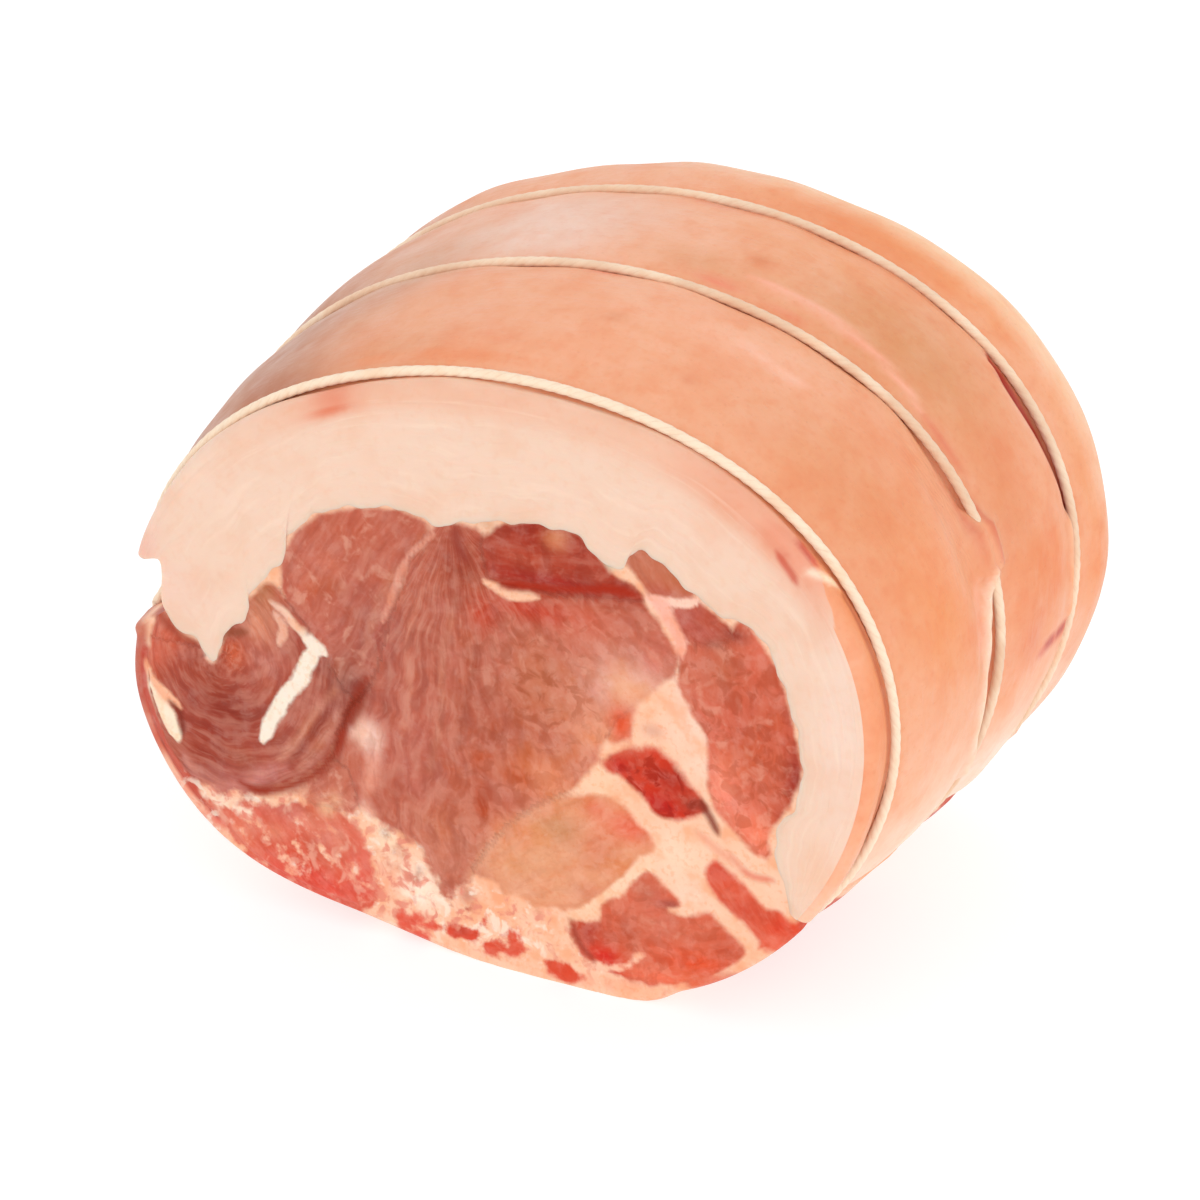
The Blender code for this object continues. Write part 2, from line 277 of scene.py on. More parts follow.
def nearness(where, points, half_width):
    """How far each place lies inside a line through points, which thins out towards its ends."""
    line = curve_through(points, np.linspace(0, 1, 4 * len(points)))
    distance, share = line_distance(line, where)
    return half_width * np.minimum(1, 4 * np.minimum(share, 1 - share) + 0.5) - distance


def stroke(where, points, half_width, soft=0.6):
    """The same as a brush stroke: 1 inside, 0 outside, with soft sides."""
    reach = soft * half_width + 0.2
    return soft_step(-reach, reach, nearness(where, points, half_width))


def blended(colours, other, share):
    """Colours, drawn towards another one by a share of 0 to 1 for each."""
    return colours + (other - colours) * share[:, None]


def patched(colours, where, patches, unit=1):
    """Colours with soft spots of others: the middle, the reach each way, the colour, the strength."""
    for middle, reach, colour, strength in patches:
        share = strength * spot(where, np.array(middle) * unit, reach)
        colours = blended(colours, seen(*colour), share)
    return colours


def brushed(colours, where, strokes, soft=0.6, unit=1):
    """Colours with strokes of others: the points, the half width, the colour, the strength."""
    for points, half_width, colour, strength in strokes:
        share = strength * stroke(where, np.array(points) * unit, half_width, soft)
        colours = blended(colours, seen(*colour), share)
    return colours


def store(mesh, name, values):
    """A value, a vector or a colour for each vertex of a mesh."""
    values = np.asarray(values, float)
    if values.ndim == 1:
        mesh.attributes.new(name, "FLOAT", "POINT").data.foreach_set("value", values)
    else:
        mesh.attributes.new(name, "FLOAT_VECTOR", "POINT").data.foreach_set("vector", values.ravel())


def plug(tree, made, sockets):
    """Gives each named socket of a node a constant or the output of another node."""
    for name, value in sockets.items():
        if isinstance(value, bpy.types.NodeSocket):
            tree.links.new(value, made.inputs[name])
        else:
            made.inputs[name].default_value = value


def node(tree, kind, sockets, **settings):
    """A new node, with its sockets and its settings."""
    made = tree.nodes.new(kind)
    for name, value in settings.items():
        setattr(made, name, value)
    plug(tree, made, sockets)
    return made


def stored(tree, name, output="Vector"):
    """What was stored for the mesh's vertices under a name."""
    return node(tree, "ShaderNodeAttribute", {}, attribute_name=name).outputs[output]


def noise(tree, where, scale, detail=2.0, distortion=0.0):
    """Smooth noise of 0 to 1, with this many lumps to a unit of its coordinates."""
    sockets = {"Vector": where, "Scale": scale, "Detail": detail, "Distortion": distortion}
    return node(tree, "ShaderNodeTexNoise", sockets).outputs["Fac"]


def worked(tree, operation, first, second=0.0):
    """A sum, a product or the like of two values."""
    return node(tree, "ShaderNodeMath", {0: first, 1: second}, operation=operation).outputs[0]


def moved(tree, operation, first, second):
    """The same for vectors."""
    return node(tree, "ShaderNodeVectorMath", {0: first, 1: second}, operation=operation).outputs[0]


def ranged(tree, value, low, high, to_low=0.0, to_high=1.0):
    """A value brought to another range by a soft step."""
    sockets = {"Value": value, "From Min": low, "From Max": high, "To Min": to_low, "To Max": to_high}
    return node(tree, "ShaderNodeMapRange", sockets, interpolation_type="SMOOTHSTEP").outputs[0]


def mixed(tree, share, first, second, blend="MIX"):
    """Two colours mixed, or the second one laid over the first."""
    sockets = {0: share, 6: first, 7: second}
    return node(tree, "ShaderNodeMix", sockets, data_type="RGBA", blend_type=blend).outputs[2]


def bumped(tree, height, strength, distance):
    """Normals for the small relief of a height, which is this far in metres."""
    sockets = {"Height": height, "Strength": strength, "Distance": distance}
    return node(tree, "ShaderNodeBump", sockets).outputs["Normal"]


def new_material(name):
    """An empty material, with its tree and its Principled shader."""
    material = bpy.data.materials.new(name)
    material.use_nodes = True
    return material, material.node_tree, material.node_tree.nodes["Principled BSDF"]


def new_group(name, inputs, outputs):
    """A node group with these sockets, and its inner nodes for what comes in and goes out."""
    tree = bpy.data.node_groups.new(name, "ShaderNodeTree")
    for way, sockets in (("INPUT", inputs), ("OUTPUT", outputs)):
        for socket, kind in sockets.items():
            tree.interface.new_socket(socket, in_out=way, socket_type=kind)
    return tree, tree.nodes.new("NodeGroupInput").outputs, tree.nodes.new("NodeGroupOutput").inputs


COLOUR, NUMBER, VECTOR = "NodeSocketColor", "NodeSocketFloat", "NodeSocketVector"
mottle, given, result = new_group(
    "mottled flesh", {"Colour": COLOUR, "Where": VECTOR, "Scale": NUMBER, "Strength": NUMBER},
    {"Colour": COLOUR})
broad = noise(mottle, given["Where"], given["Scale"], 3.0)
fine = noise(mottle, given["Where"], worked(mottle, "MULTIPLY", given["Scale"], 5.3), 2.0)
redder = mixed(mottle, 1.0, given["Colour"], (0.97, 0.78, 0.66, 1), "MULTIPLY")
paler = mixed(mottle, 0.10, given["Colour"], (1.0, 0.84, 0.72, 1))
share = worked(mottle, "MULTIPLY", ranged(mottle, broad, 0.48, 0.70), given["Strength"])
stained = mixed(mottle, share, given["Colour"], redder)
share = worked(mottle, "MULTIPLY", ranged(mottle, broad, 0.52, 0.32), given["Strength"])
stained = mixed(mottle, share, stained, paler)
share = worked(mottle, "MULTIPLY", ranged(mottle, fine, 0.50, 0.72, 0.0, 0.6), given["Strength"])
mottle.links.new(mixed(mottle, share, stained, redder), result["Colour"])


def mottled(tree, colour, where, scale, strength):
    """A colour with soft redder and paler stains."""
    sockets = {"Colour": colour, "Where": where, "Scale": scale, "Strength": strength}
    return node(tree, "ShaderNodeGroup", sockets, node_tree=mottle).outputs["Colour"]


cap_depths = stations(CAP_RING_STEP, CAP_NEAR_LOOP)
cap_mesh, cap_share = fine_block(CAP_COLUMNS, len(cap_depths) - 1, CAP_ROWS)
along, ring, through = cap_share.T
through = 1 - (1 - through) ** CAP_ROW_EASE
depth = np.interp(ring, np.linspace(0, 1, len(cap_depths)), cap_depths)
degrees = CAP_END + (CAP_START - CAP_END) * along
inner_line, rind_line = fat_line(along), outer_side(degrees)
flat = inner_line + (rind_line - inner_line) * through[:, None]
left_rind = rind_line[np.argmin(along)]
left_end = curve_through([CAP_LINE[0], CAP_END_STEPS[1], CAP_END_STEPS[0], left_rind], through)
left_end -= np.array(CAP_LINE[0]) + (left_rind - CAP_LINE[0]) * through[:, None]
flat += left_end * np.clip(1 - along / CAP_LEFT_SHARE, 0, 1)[:, None] ** 2

BROAD_WAVES = 0.30         # mm that the skin rises and falls in broad waves
SMALL_WAVES = 0.16         # and in small ones
# Folds and grooves of the skin: points in degrees round the roll and mm from the front cut, half
# width in mm and height in mm.
SKIN_RIDGES = (
    (((67, 49), (58, 49), (49, 48.6), (43, 47.5), (35, 45.6), (28, 45.2)), 1.5, 0.35),
    (((12, 41.2), (7, 38.8), (2, 37.4), (-4, 36.6), (-10, 37.2), (-17, 39.4)), 1.3, 1.5),
    (((19, 42.2), (15, 42.3), (11.5, 42.3)), 2.6, 3.0),
    (((11, 71.2), (7, 70.4), (2, 70.2), (-3, 71.0)), 1.0, 0.8),
    (((34, 69.4), (29, 68.6), (24, 68.6), (18, 69.0), (12, 69.8)), 1.0, 0.4),
    (((33, 71.0), (29, 70.3), (26, 70.3), (22, 70.7), (18, 70.9), (14, 71.5), (9, 72.7)), 1.5, -1.3),
    (((24, 5.0), (12, 5.0), (0, 5.2), (-12, 5.6), (-22, 6.0)), 0.9, -0.6),
)
FOLD = ((38, 33), (30, 31.4), (24, 30.6), (18, 29.8), (12, 31.0), (6, 32.0), (-2, 32.6), (-12, 33.5))
FOLD_DROP = 1.1            # mm that the skin falls away behind this soft fold, down to the twine
CUT_SWELL = 0.35           # mm that the cut fat swells over its face
CUT_WAVES = 0.25           # mm that it rises and falls on it
SKIN_UNIT = (ROUND_SCALE, 1)   # from degrees round the roll and mm from the cut to mm over the skin

on_skin = np.stack([degrees, depth * MM], axis=-1) * SKIN_UNIT
round_it, back = on_skin.T
raised = BROAD_WAVES * np.sin(round_it / 9 + 1.3 * np.sin(back / 17)) * np.sin(back / 8 + 0.6)
raised += SMALL_WAVES * np.sin(round_it / 3.7 + 2 * np.sin(back / 11)) * np.cos(back / 4.6)
for points, half_width, height in SKIN_RIDGES:
    raised += height * stroke(on_skin, np.array(points) * SKIN_UNIT, half_width, 0.9)
fold_degrees, fold_back = np.array(FOLD[::-1]).T
behind_fold = back - np.interp(degrees, fold_degrees, fold_back)
fold_span = soft_step(-16, -6, degrees) * (1 - soft_step(26, 40, degrees))
raised -= FOLD_DROP * fold_span * soft_step(0, 5, behind_fold) * (1 - soft_step(9, 20, behind_fold))
raised *= soft_step(0, 6, back)
cap_points = carried(*flat.T, depth, raised / MM * soft_step(0.4, 1, through))
x, z = flat.T
cut_relief = CUT_SWELL + CUT_WAVES * np.sin(220 * x + 2 * np.sin(150 * z)) * np.sin(330 * z + 1)
cut_relief *= np.sin(np.pi * through) ** 0.5 / MM
cap_points[:, 1] += cut_relief * ((ring == 1) * 1.0 - (ring == 0))
cap_mesh.vertices.foreach_set("co", cap_points.ravel())

# Colours as they look, 0 to 255 for red, green and blue. On the rind: middle in degrees and mm back,
# reach in mm each way, colour, strength.
RIND = seen(241, 176, 142)
DEEPER_RIND = (0.97, 0.91, 0.83)   # what lies under the sheen, which adds white to what is seen
DEEPER_FAT = (0.88, 0.85, 0.84)
RIND_PATCHES = (
    # Painted shade: these first two patches, and two more further down, darken the rind's left side, which
    # faces away from the soft box.
    ((165, 45), (30, 90), (170, 116, 94), 1.0),
    ((143, 25), (20, 30), (184, 130, 106), 0.95),
    ((42, 56), (24, 12), (216, 147, 94), 0.85),
    ((34, 20), (24, 13), (230, 156, 112), 0.8),
    ((16, 24), (12, 8), (236, 146, 90), 0.8),
    ((118, 50), (20, 9), (228, 190, 174), 0.8),
    ((104, 60), (22, 9), (236, 198, 184), 0.9),
    ((100, 88), (22, 9), (240, 190, 168), 0.7),
    ((112, 24), (24, 9), (236, 172, 140), 0.6),
    ((80, 22), (16, 9), (242, 172, 136), 0.6),
    ((60, 32), (16, 5), (246, 188, 162), 0.7),
    ((54, 79), (28, 3.5), (236, 146, 82), 0.9),
    ((14, 79.5), (12, 3), (236, 150, 88), 0.7),
    # Painted highlight: a pale band along the rounded back edge, where bright light wraps round the roll.
    ((48, 87), (50, 5), (254, 220, 184), 0.85),
    ((62, 70), (20, 12), (240, 166, 120), 0.7),
    ((8, 57), (11, 8), (234, 138, 78), 0.9),
    ((6, 63), (7, 4), (236, 126, 46), 0.6),
    ((18, 51), (10, 6), (226, 142, 94), 0.7),
    ((-1, 53), (6, 6), (232, 138, 92), 0.8),
    ((75, 49), (10, 4), (224, 160, 118), 0.6),
    ((114, 12), (12, 6), (222, 152, 110), 0.6),
    # Painted shade on the rind's left side, as above: the next two patches.
    ((138, 6), (12, 8), (180, 116, 88), 0.95),
    ((126, 40), (11, 12), (206, 162, 140), 0.7),
    ((104, 50), (14, 7), (240, 212, 204), 0.85),
    ((22, 62), (14, 9), (238, 164, 124), 0.5),
    ((10, 23), (10, 9), (238, 154, 98), 0.8),
    ((1, 83), (10, 7), (238, 140, 72), 0.9),
    # Painted shade: these two patches darken the skin behind the soft fold, where it falls away towards the
    # middle loop.
    ((26, 36), (14, 5), (236, 158, 116), 0.7),
    ((12, 37), (10, 4), (236, 158, 114), 0.7),
    # Painted light: these four patches whiten the rind at the lower right, which faces the glowing table.
    ((-14, 20), (10, 16), (248, 190, 158), 0.8),
    ((-26, 30), (14, 30), (255, 232, 216), 0.95),
    ((-12, 60), (9, 14), (250, 186, 152), 0.7),
    ((-26, 62), (14, 24), (255, 230, 214), 0.95),
    ((67.2, 54.4), (2.2, 1.5), (222, 128, 70), 0.8),
    ((75, 71), (2.4, 1.2), (226, 132, 100), 0.7),
    ((61.4, 18.6), (1.7, 1.2), (228, 146, 108), 0.5),
    ((79, 26.6), (2.6, 0.9), (222, 150, 112), 0.6),
    # Painted shade: these six thin bands darken the skin along either side of the middle and back loops,
    # under the twine.
    ((88, 40.4), (5, 0.9), (228, 112, 84), 0.7),
    ((70, 45.6), (5, 1.1), (238, 128, 104), 0.6),
    ((58, 44.9), (4, 0.8), (236, 124, 98), 0.4),
    ((30, 45.4), (6, 1.0), (224, 110, 84), 0.6),
    ((20, 40.0), (7, 1.0), (214, 110, 80), 0.6),
    ((82, 70.5), (5, 1.2), (230, 140, 116), 0.6),
    ((8, 4), (40, 3), (238, 150, 96), 0.95),
)
# Strokes on it: points in degrees and mm back, half width in mm, colour, strength.
RIND_STROKES = (
    (((67, 49), (58, 49), (49, 48.6), (43, 47.5), (35, 45.6)), 0.8, (250, 186, 166), 0.8),
    (((60, 32), (54, 31), (48, 31)), 1.0, (250, 196, 176), 0.7),
    (((34, 69.4), (29, 68.4), (24, 68.4), (18, 69.0), (12, 69.8)), 0.8, (252, 190, 160), 0.6),
    (((34, 71.4), (29, 70.6), (26, 70.6), (22, 71), (18, 71.2), (14, 71.8), (8, 73)), 1.7,
     (168, 26, 8), 1.0),
    # Painted shade in the crease between the middle loop and the fold of skin beside it.
    (((11, 42.6), (6, 41.0), (0, 39.6), (-6, 39.4), (-14, 41.0)), 0.8, (168, 96, 66), 0.9),
    (((12, 41.2), (7, 38.8), (2, 37.4), (-4, 36.6), (-10, 37.2), (-17, 39.4)), 1.3, (255, 226, 208), 1.0),
    (((12, 37.4), (8, 35.6), (3, 34.6)), 1.6, (250, 184, 160), 0.7),
    # Painted shade behind the raised skin that covers the middle loop.
    (((22, 43.6), (17, 43.8), (12, 44.6)), 0.8, (214, 110, 80), 0.7),
    (((11, 71.2), (7, 70.4), (2, 70.2), (-3, 71.0)), 0.8, (252, 196, 160), 0.8),
    # Painted shade: a brown-red line along the front side of the front loop, under the twine.
    (((24, 5.6), (12, 5.8), (0, 6.0), (-12, 6.2), (-22, 6.6)), 0.7, (186, 92, 56), 0.8),
    (((128, 5.6), (110, 6.0), (92, 6.2)), 0.7, (226, 138, 96), 0.6),
    (((120, 11.5), (104, 11.4), (86, 11.4)), 1.5, (238, 146, 92), 0.5),
    (((-4.8, 58), (-4.6, 66), (-4.8, 72)), 1.2, (222, 104, 78), 0.8),
    (((-4.4, 61), (-4.6, 64)), 0.9, (192, 54, 34), 0.8),
    (((-4.4, 66), (-4.6, 70)), 0.9, (186, 50, 34), 0.8),
    # Painted shade: a darker line along the front side of the back loop, under the twine.
    (((96, 71.3), (84, 71.2), (70, 71.2), (52, 71.2), (40, 71.2)), 0.7, (214, 124, 78), 0.6),
)
rind_tone = patched(np.tile(RIND, (len(flat), 1)), on_skin, RIND_PATCHES, SKIN_UNIT)
rind_tone = brushed(rind_tone, on_skin, RIND_STROKES, unit=SKIN_UNIT)

# Colours of the cut fat, by its place on the front face in mm.
FAT = seen(250, 217, 194)
FAT_PATCHES = (
    ((-72, 66), (5, 9), (244, 196, 178), 0.9),
    ((-62, 60), (6, 5), (250, 210, 190), 0.6),
    ((40, 92), (12, 5), (251, 214, 192), 0.5),
    ((66, 60), (5, 20), (253, 224, 206), 0.8),
    ((62, 34), (6, 9), (252, 212, 184), 0.7),
    ((56, 24), (3, 3), (250, 196, 160), 0.6),
)
# Pinker fat next to the rind: degrees over which it comes in and goes out again, mm deep, colour,
# strength. A red smear on it: middle in degrees and mm under the rind, reach, colour, strength.
PINKER_FAT = (
    ((14, 40), (128, 150), 4.5, (247, 194, 164), 0.75),
    ((18, 30), (44, 62), 4.0, (244, 168, 134), 0.7),
)
SMEAR = (((123, 1.2), (5, 2.2), (236, 120, 76), 0.85),)
from_rind = (1 - through) * np.linalg.norm(rind_line - inner_line, axis=1) * MM
fat_tone = patched(np.tile(FAT, (len(flat), 1)), flat * MM, FAT_PATCHES)
for coming, going, deep, colour, strength in PINKER_FAT:
    pinker = strength * np.exp(-(from_rind / deep) ** 2) * soft_step(*coming, degrees)
    fat_tone = blended(fat_tone, seen(*colour), pinker * (1 - soft_step(*going, degrees)))
fat_tone = patched(fat_tone, np.stack([degrees, from_rind], axis=-1), SMEAR)
# A raw patch at the upper right, with red nicks and a pale tag of fat, on both sides of the edge:
# in degrees, and mm over the edge from the face (below 0) to the skin.
RAW_STROKES = (
    (((38, 1.4), (35, 1.6), (32, 1.8), (29, 1.6)), 3.2, (242, 160, 128), 0.75),
    (((34.4, -0.8), (32.6, -1.4), (31.1, -1.6), (29.7, -2.1)), 1.0, (216, 88, 58), 0.85),
    (((33.6, 4.2), (31.6, 4.0), (30, 3.8)), 1.1, (212, 70, 42), 0.9),
    (((29.8, 0.8), (28.2, 2.8), (25.8, 5.8)), 0.9, (255, 232, 206), 1.0),
)
over_edge = np.stack([round_it, back - from_rind], axis=-1)
fat_tone = brushed(fat_tone, over_edge, RAW_STROKES, unit=SKIN_UNIT) * DEEPER_FAT
rind_tone = brushed(rind_tone, over_edge, RAW_STROKES, unit=SKIN_UNIT) * DEEPER_RIND

# Where the rind starts: its angles, and how far it lies behind the front cut there.
RIND_ANGLES = (20, 26, 34, 46, 150, 165)
RIND_STARTS = (-0.5, 0.8, 5.0, 6.3, 6.3, 4.0)
RIND_AT_BACK = 0.93            # from here on through the thickness, the back cut shows rind
BAND_SIZE = (230, 22)          # mm: how long the band is round the roll, and how thick
rind_share = soft_step(-0.4, 0.7, back - np.interp(degrees, RIND_ANGLES, RIND_STARTS)) * (through == 1)
rind_share[(ring == 1) & (through > RIND_AT_BACK)] = 1
store(cap_mesh, "rind_tone", rind_tone)
store(cap_mesh, "fat_tone", fat_tone)
store(cap_mesh, "rind", rind_share)
store(cap_mesh, "band", np.stack([along * BAND_SIZE[0], through * BAND_SIZE[1], back], axis=-1))

# Fat with faint streaks along the band, and rind with its pores and fine creases.
skin_fat, tree, shader = new_material("fat and rind")
where = node(tree, "ShaderNodeTexCoord", {}).outputs["Object"]
streak_place = moved(tree, "MULTIPLY", stored(tree, "band"), (0.05, 0.55, 0.15))
streak = noise(tree, streak_place, 1.0, 3.0, 0.4)
fat_colour = mottled(tree, stored(tree, "fat_tone"), where, 110.0, 0.35)
fat_colour = mixed(tree, ranged(tree, streak, 0.50, 0.75, 0.0, 0.16), fat_colour, (0.93, 0.53, 0.37, 1))
fat_colour = mixed(tree, ranged(tree, streak, 0.48, 0.25, 0.0, 0.20), fat_colour, (0.98, 0.78, 0.62, 1))
rind_colour = mottled(tree, stored(tree, "rind_tone"), where, 55.0, 0.55)
rind_colour = mottled(tree, rind_colour, where, 170.0, 0.4)
pore_sockets = {"Vector": where, "Scale": 700.0, "Randomness": 0.9}
pores = node(tree, "ShaderNodeTexVoronoi", pore_sockets).outputs["Distance"]
pore = ranged(tree, pores, 0.08, 0.22, 1.0, 0.0)
rind_colour = mixed(tree, worked(tree, "MULTIPLY", pore, 0.06), rind_colour, (0.62, 0.26, 0.13, 1))
uneven = worked(tree, "MULTIPLY", worked(tree, "SUBTRACT", noise(tree, where, 420.0), 0.5), 0.5)
rind_mask = ranged(tree, worked(tree, "ADD", stored(tree, "rind", "Fac"), uneven), 0.35, 0.65)
creases = noise(tree, moved(tree, "MULTIPLY", where, (1.0, 2.6, 1.0)), 260.0, 4.0, 0.6)
rind_height = worked(tree, "SUBTRACT", creases, worked(tree, "MULTIPLY", pore, 0.2))
fat_height = worked(tree, "ADD", streak, worked(tree, "MULTIPLY", noise(tree, where, 900.0, 3.0), 0.25))
plug(tree, shader, {
    "Base Color": mixed(tree, rind_mask, fat_colour, rind_colour),
    "Normal": bumped(tree, mixed(tree, rind_mask, fat_height, rind_height), 0.5, 0.00045),
    "Roughness": ranged(tree, noise(tree, where, 150.0), 0.3, 0.7, 0.38, 0.56),
    "Subsurface Weight": 0.35, "Subsurface Radius": (1.0, 0.45, 0.28), "Subsurface Scale": 0.0025,
    "Specular IOR Level": 0.4, "Coat Weight": 0.05, "Coat Roughness": 0.3})
new_piece("fat_cap_with_rind", cap_mesh, skin_fat, "root", "fat_cap")


# ---------------------------------------------------------------- lean
# The rolled shoulder muscles, one solid from cut to cut. Each muscle has its own colour and grain,
# and thin sheets of fat part them. The outer side shows below the rind's two edges.

LEAN_COLUMNS = 246           # of the mesh, from left to right
LEAN_ROWS = 112              # from the bottom up
LEAN_RING_STEP = 0.0030      # between its rings, where nothing calls for closer ones
LEAN_NEAR_LOOP = (0, 0.7, 1.5, 2.6, 4.2)   # mm from each loop of twine to its closer rings
LEAN_EVENINGS = 40           # how often each inner vertex of its faces goes between its neighbours
LEAN_ENDS = (182.5, 331.2)   # degrees: where the lean's outer side starts and ends
LOWER_LEFT = 214             # degrees: the lower left corner of the mesh
TOP_SHARE = 0.83             # how much of the line with the fat is the mesh's top
TWIST_MIDDLE = (0, 45)       # mm: the place on the front cut that the muscles turn round
SIDE_TWIST = 0.10            # radians that they turn, to and fro, on their way back
TWIST_DEPTH = 0.016          # depth over which this sways by one radian of its wave
MUSCLE_SOFT = 1.2            # mm over which one muscle's colour runs into the next
FAR_OUTSIDE = 9.0            # mm outside of every muscle: where the search for the nearest starts
EDGE_MOST = (9.2, 1.2)       # mm inside or outside that still count, in plain and in marbled meat
GRAIN_APART = 7.0            # between the grain of one muscle and the next, so that no two match
SWIRL_RADIAN = 12            # mm of grain to one radian round the middle of a swirl
FAN_RADIAN = 14              # the same round the start of a fan
FAN_WIDTH = 0.5              # how wide the fan opens there, as a share
FAN_LENGTH = 80              # mm from its start to its end
FAN_NARROWS = 0.75           # share by which it is narrower at its end
SIDE_RADIAN = 60             # mm of grain to one radian round the outer side
MEAT_SWELL = 0.55            # mm that the meat swells over the cut face
FAT_SINK = 0.25              # mm that the fat between the muscles sinks under it
FAT_LINE_SLOPE = 1.6         # how steeply a line of fat over the meat falls off at its sides
FAT_LINE_SWELL = 0.2         # mm that it stands up
SIDE_LUMPS = 0.35            # mm that the outer side is uneven
SIDE_STREAKS = 0.8           # how much it shows light streaks

lean_depths = stations(LEAN_RING_STEP, LEAN_NEAR_LOOP)
lean_mesh, lean_share = fine_block(LEAN_COLUMNS, len(lean_depths) - 1, LEAN_ROWS)
across, ring, upward = lean_share.T
depth = np.interp(ring, np.linspace(0, 1, len(lean_depths)), lean_depths)
# A net over the front face, spanned between the four lines round it and then evened out.
rest_of_line = fat_line(np.linspace(1, TOP_SHARE, 60))
a, v = np.linspace(0, 1, LEAN_COLUMNS + 1), np.linspace(0, 1, LEAN_ROWS + 1)
top = fat_line(a * TOP_SHARE)[:, None]
right = curve_through([*outer_side(LEAN_ENDS[1:]), *rest_of_line], v)
bottom = curve_through(outer_side(np.linspace(LOWER_LEFT, LEAN_ENDS[1], 60)), a)[:, None]
left = curve_through([*outer_side(np.linspace(LOWER_LEFT, LEAN_ENDS[0], 16)), CAP_LINE[0]], v)
a, v = a[:, None, None], v[None, :, None]
net = (1 - v) * bottom + v * top + (1 - a) * left + a * right
net = net - (1 - a) * (1 - v) * outer_side(LOWER_LEFT) - a * (1 - v) * outer_side(LEAN_ENDS[1])
net = net - (1 - a) * v * CAP_LINE[0] - a * v * rest_of_line[-1]
for evening in range(LEAN_EVENINGS):
    net[1:-1, 1:-1] = (net[2:, 1:-1] + net[:-2, 1:-1] + net[1:-1, 2:] + net[1:-1, :-2]) / 4
flat = net[np.rint(across * LEAN_COLUMNS).astype(int), np.rint(upward * LEAN_ROWS).astype(int)]

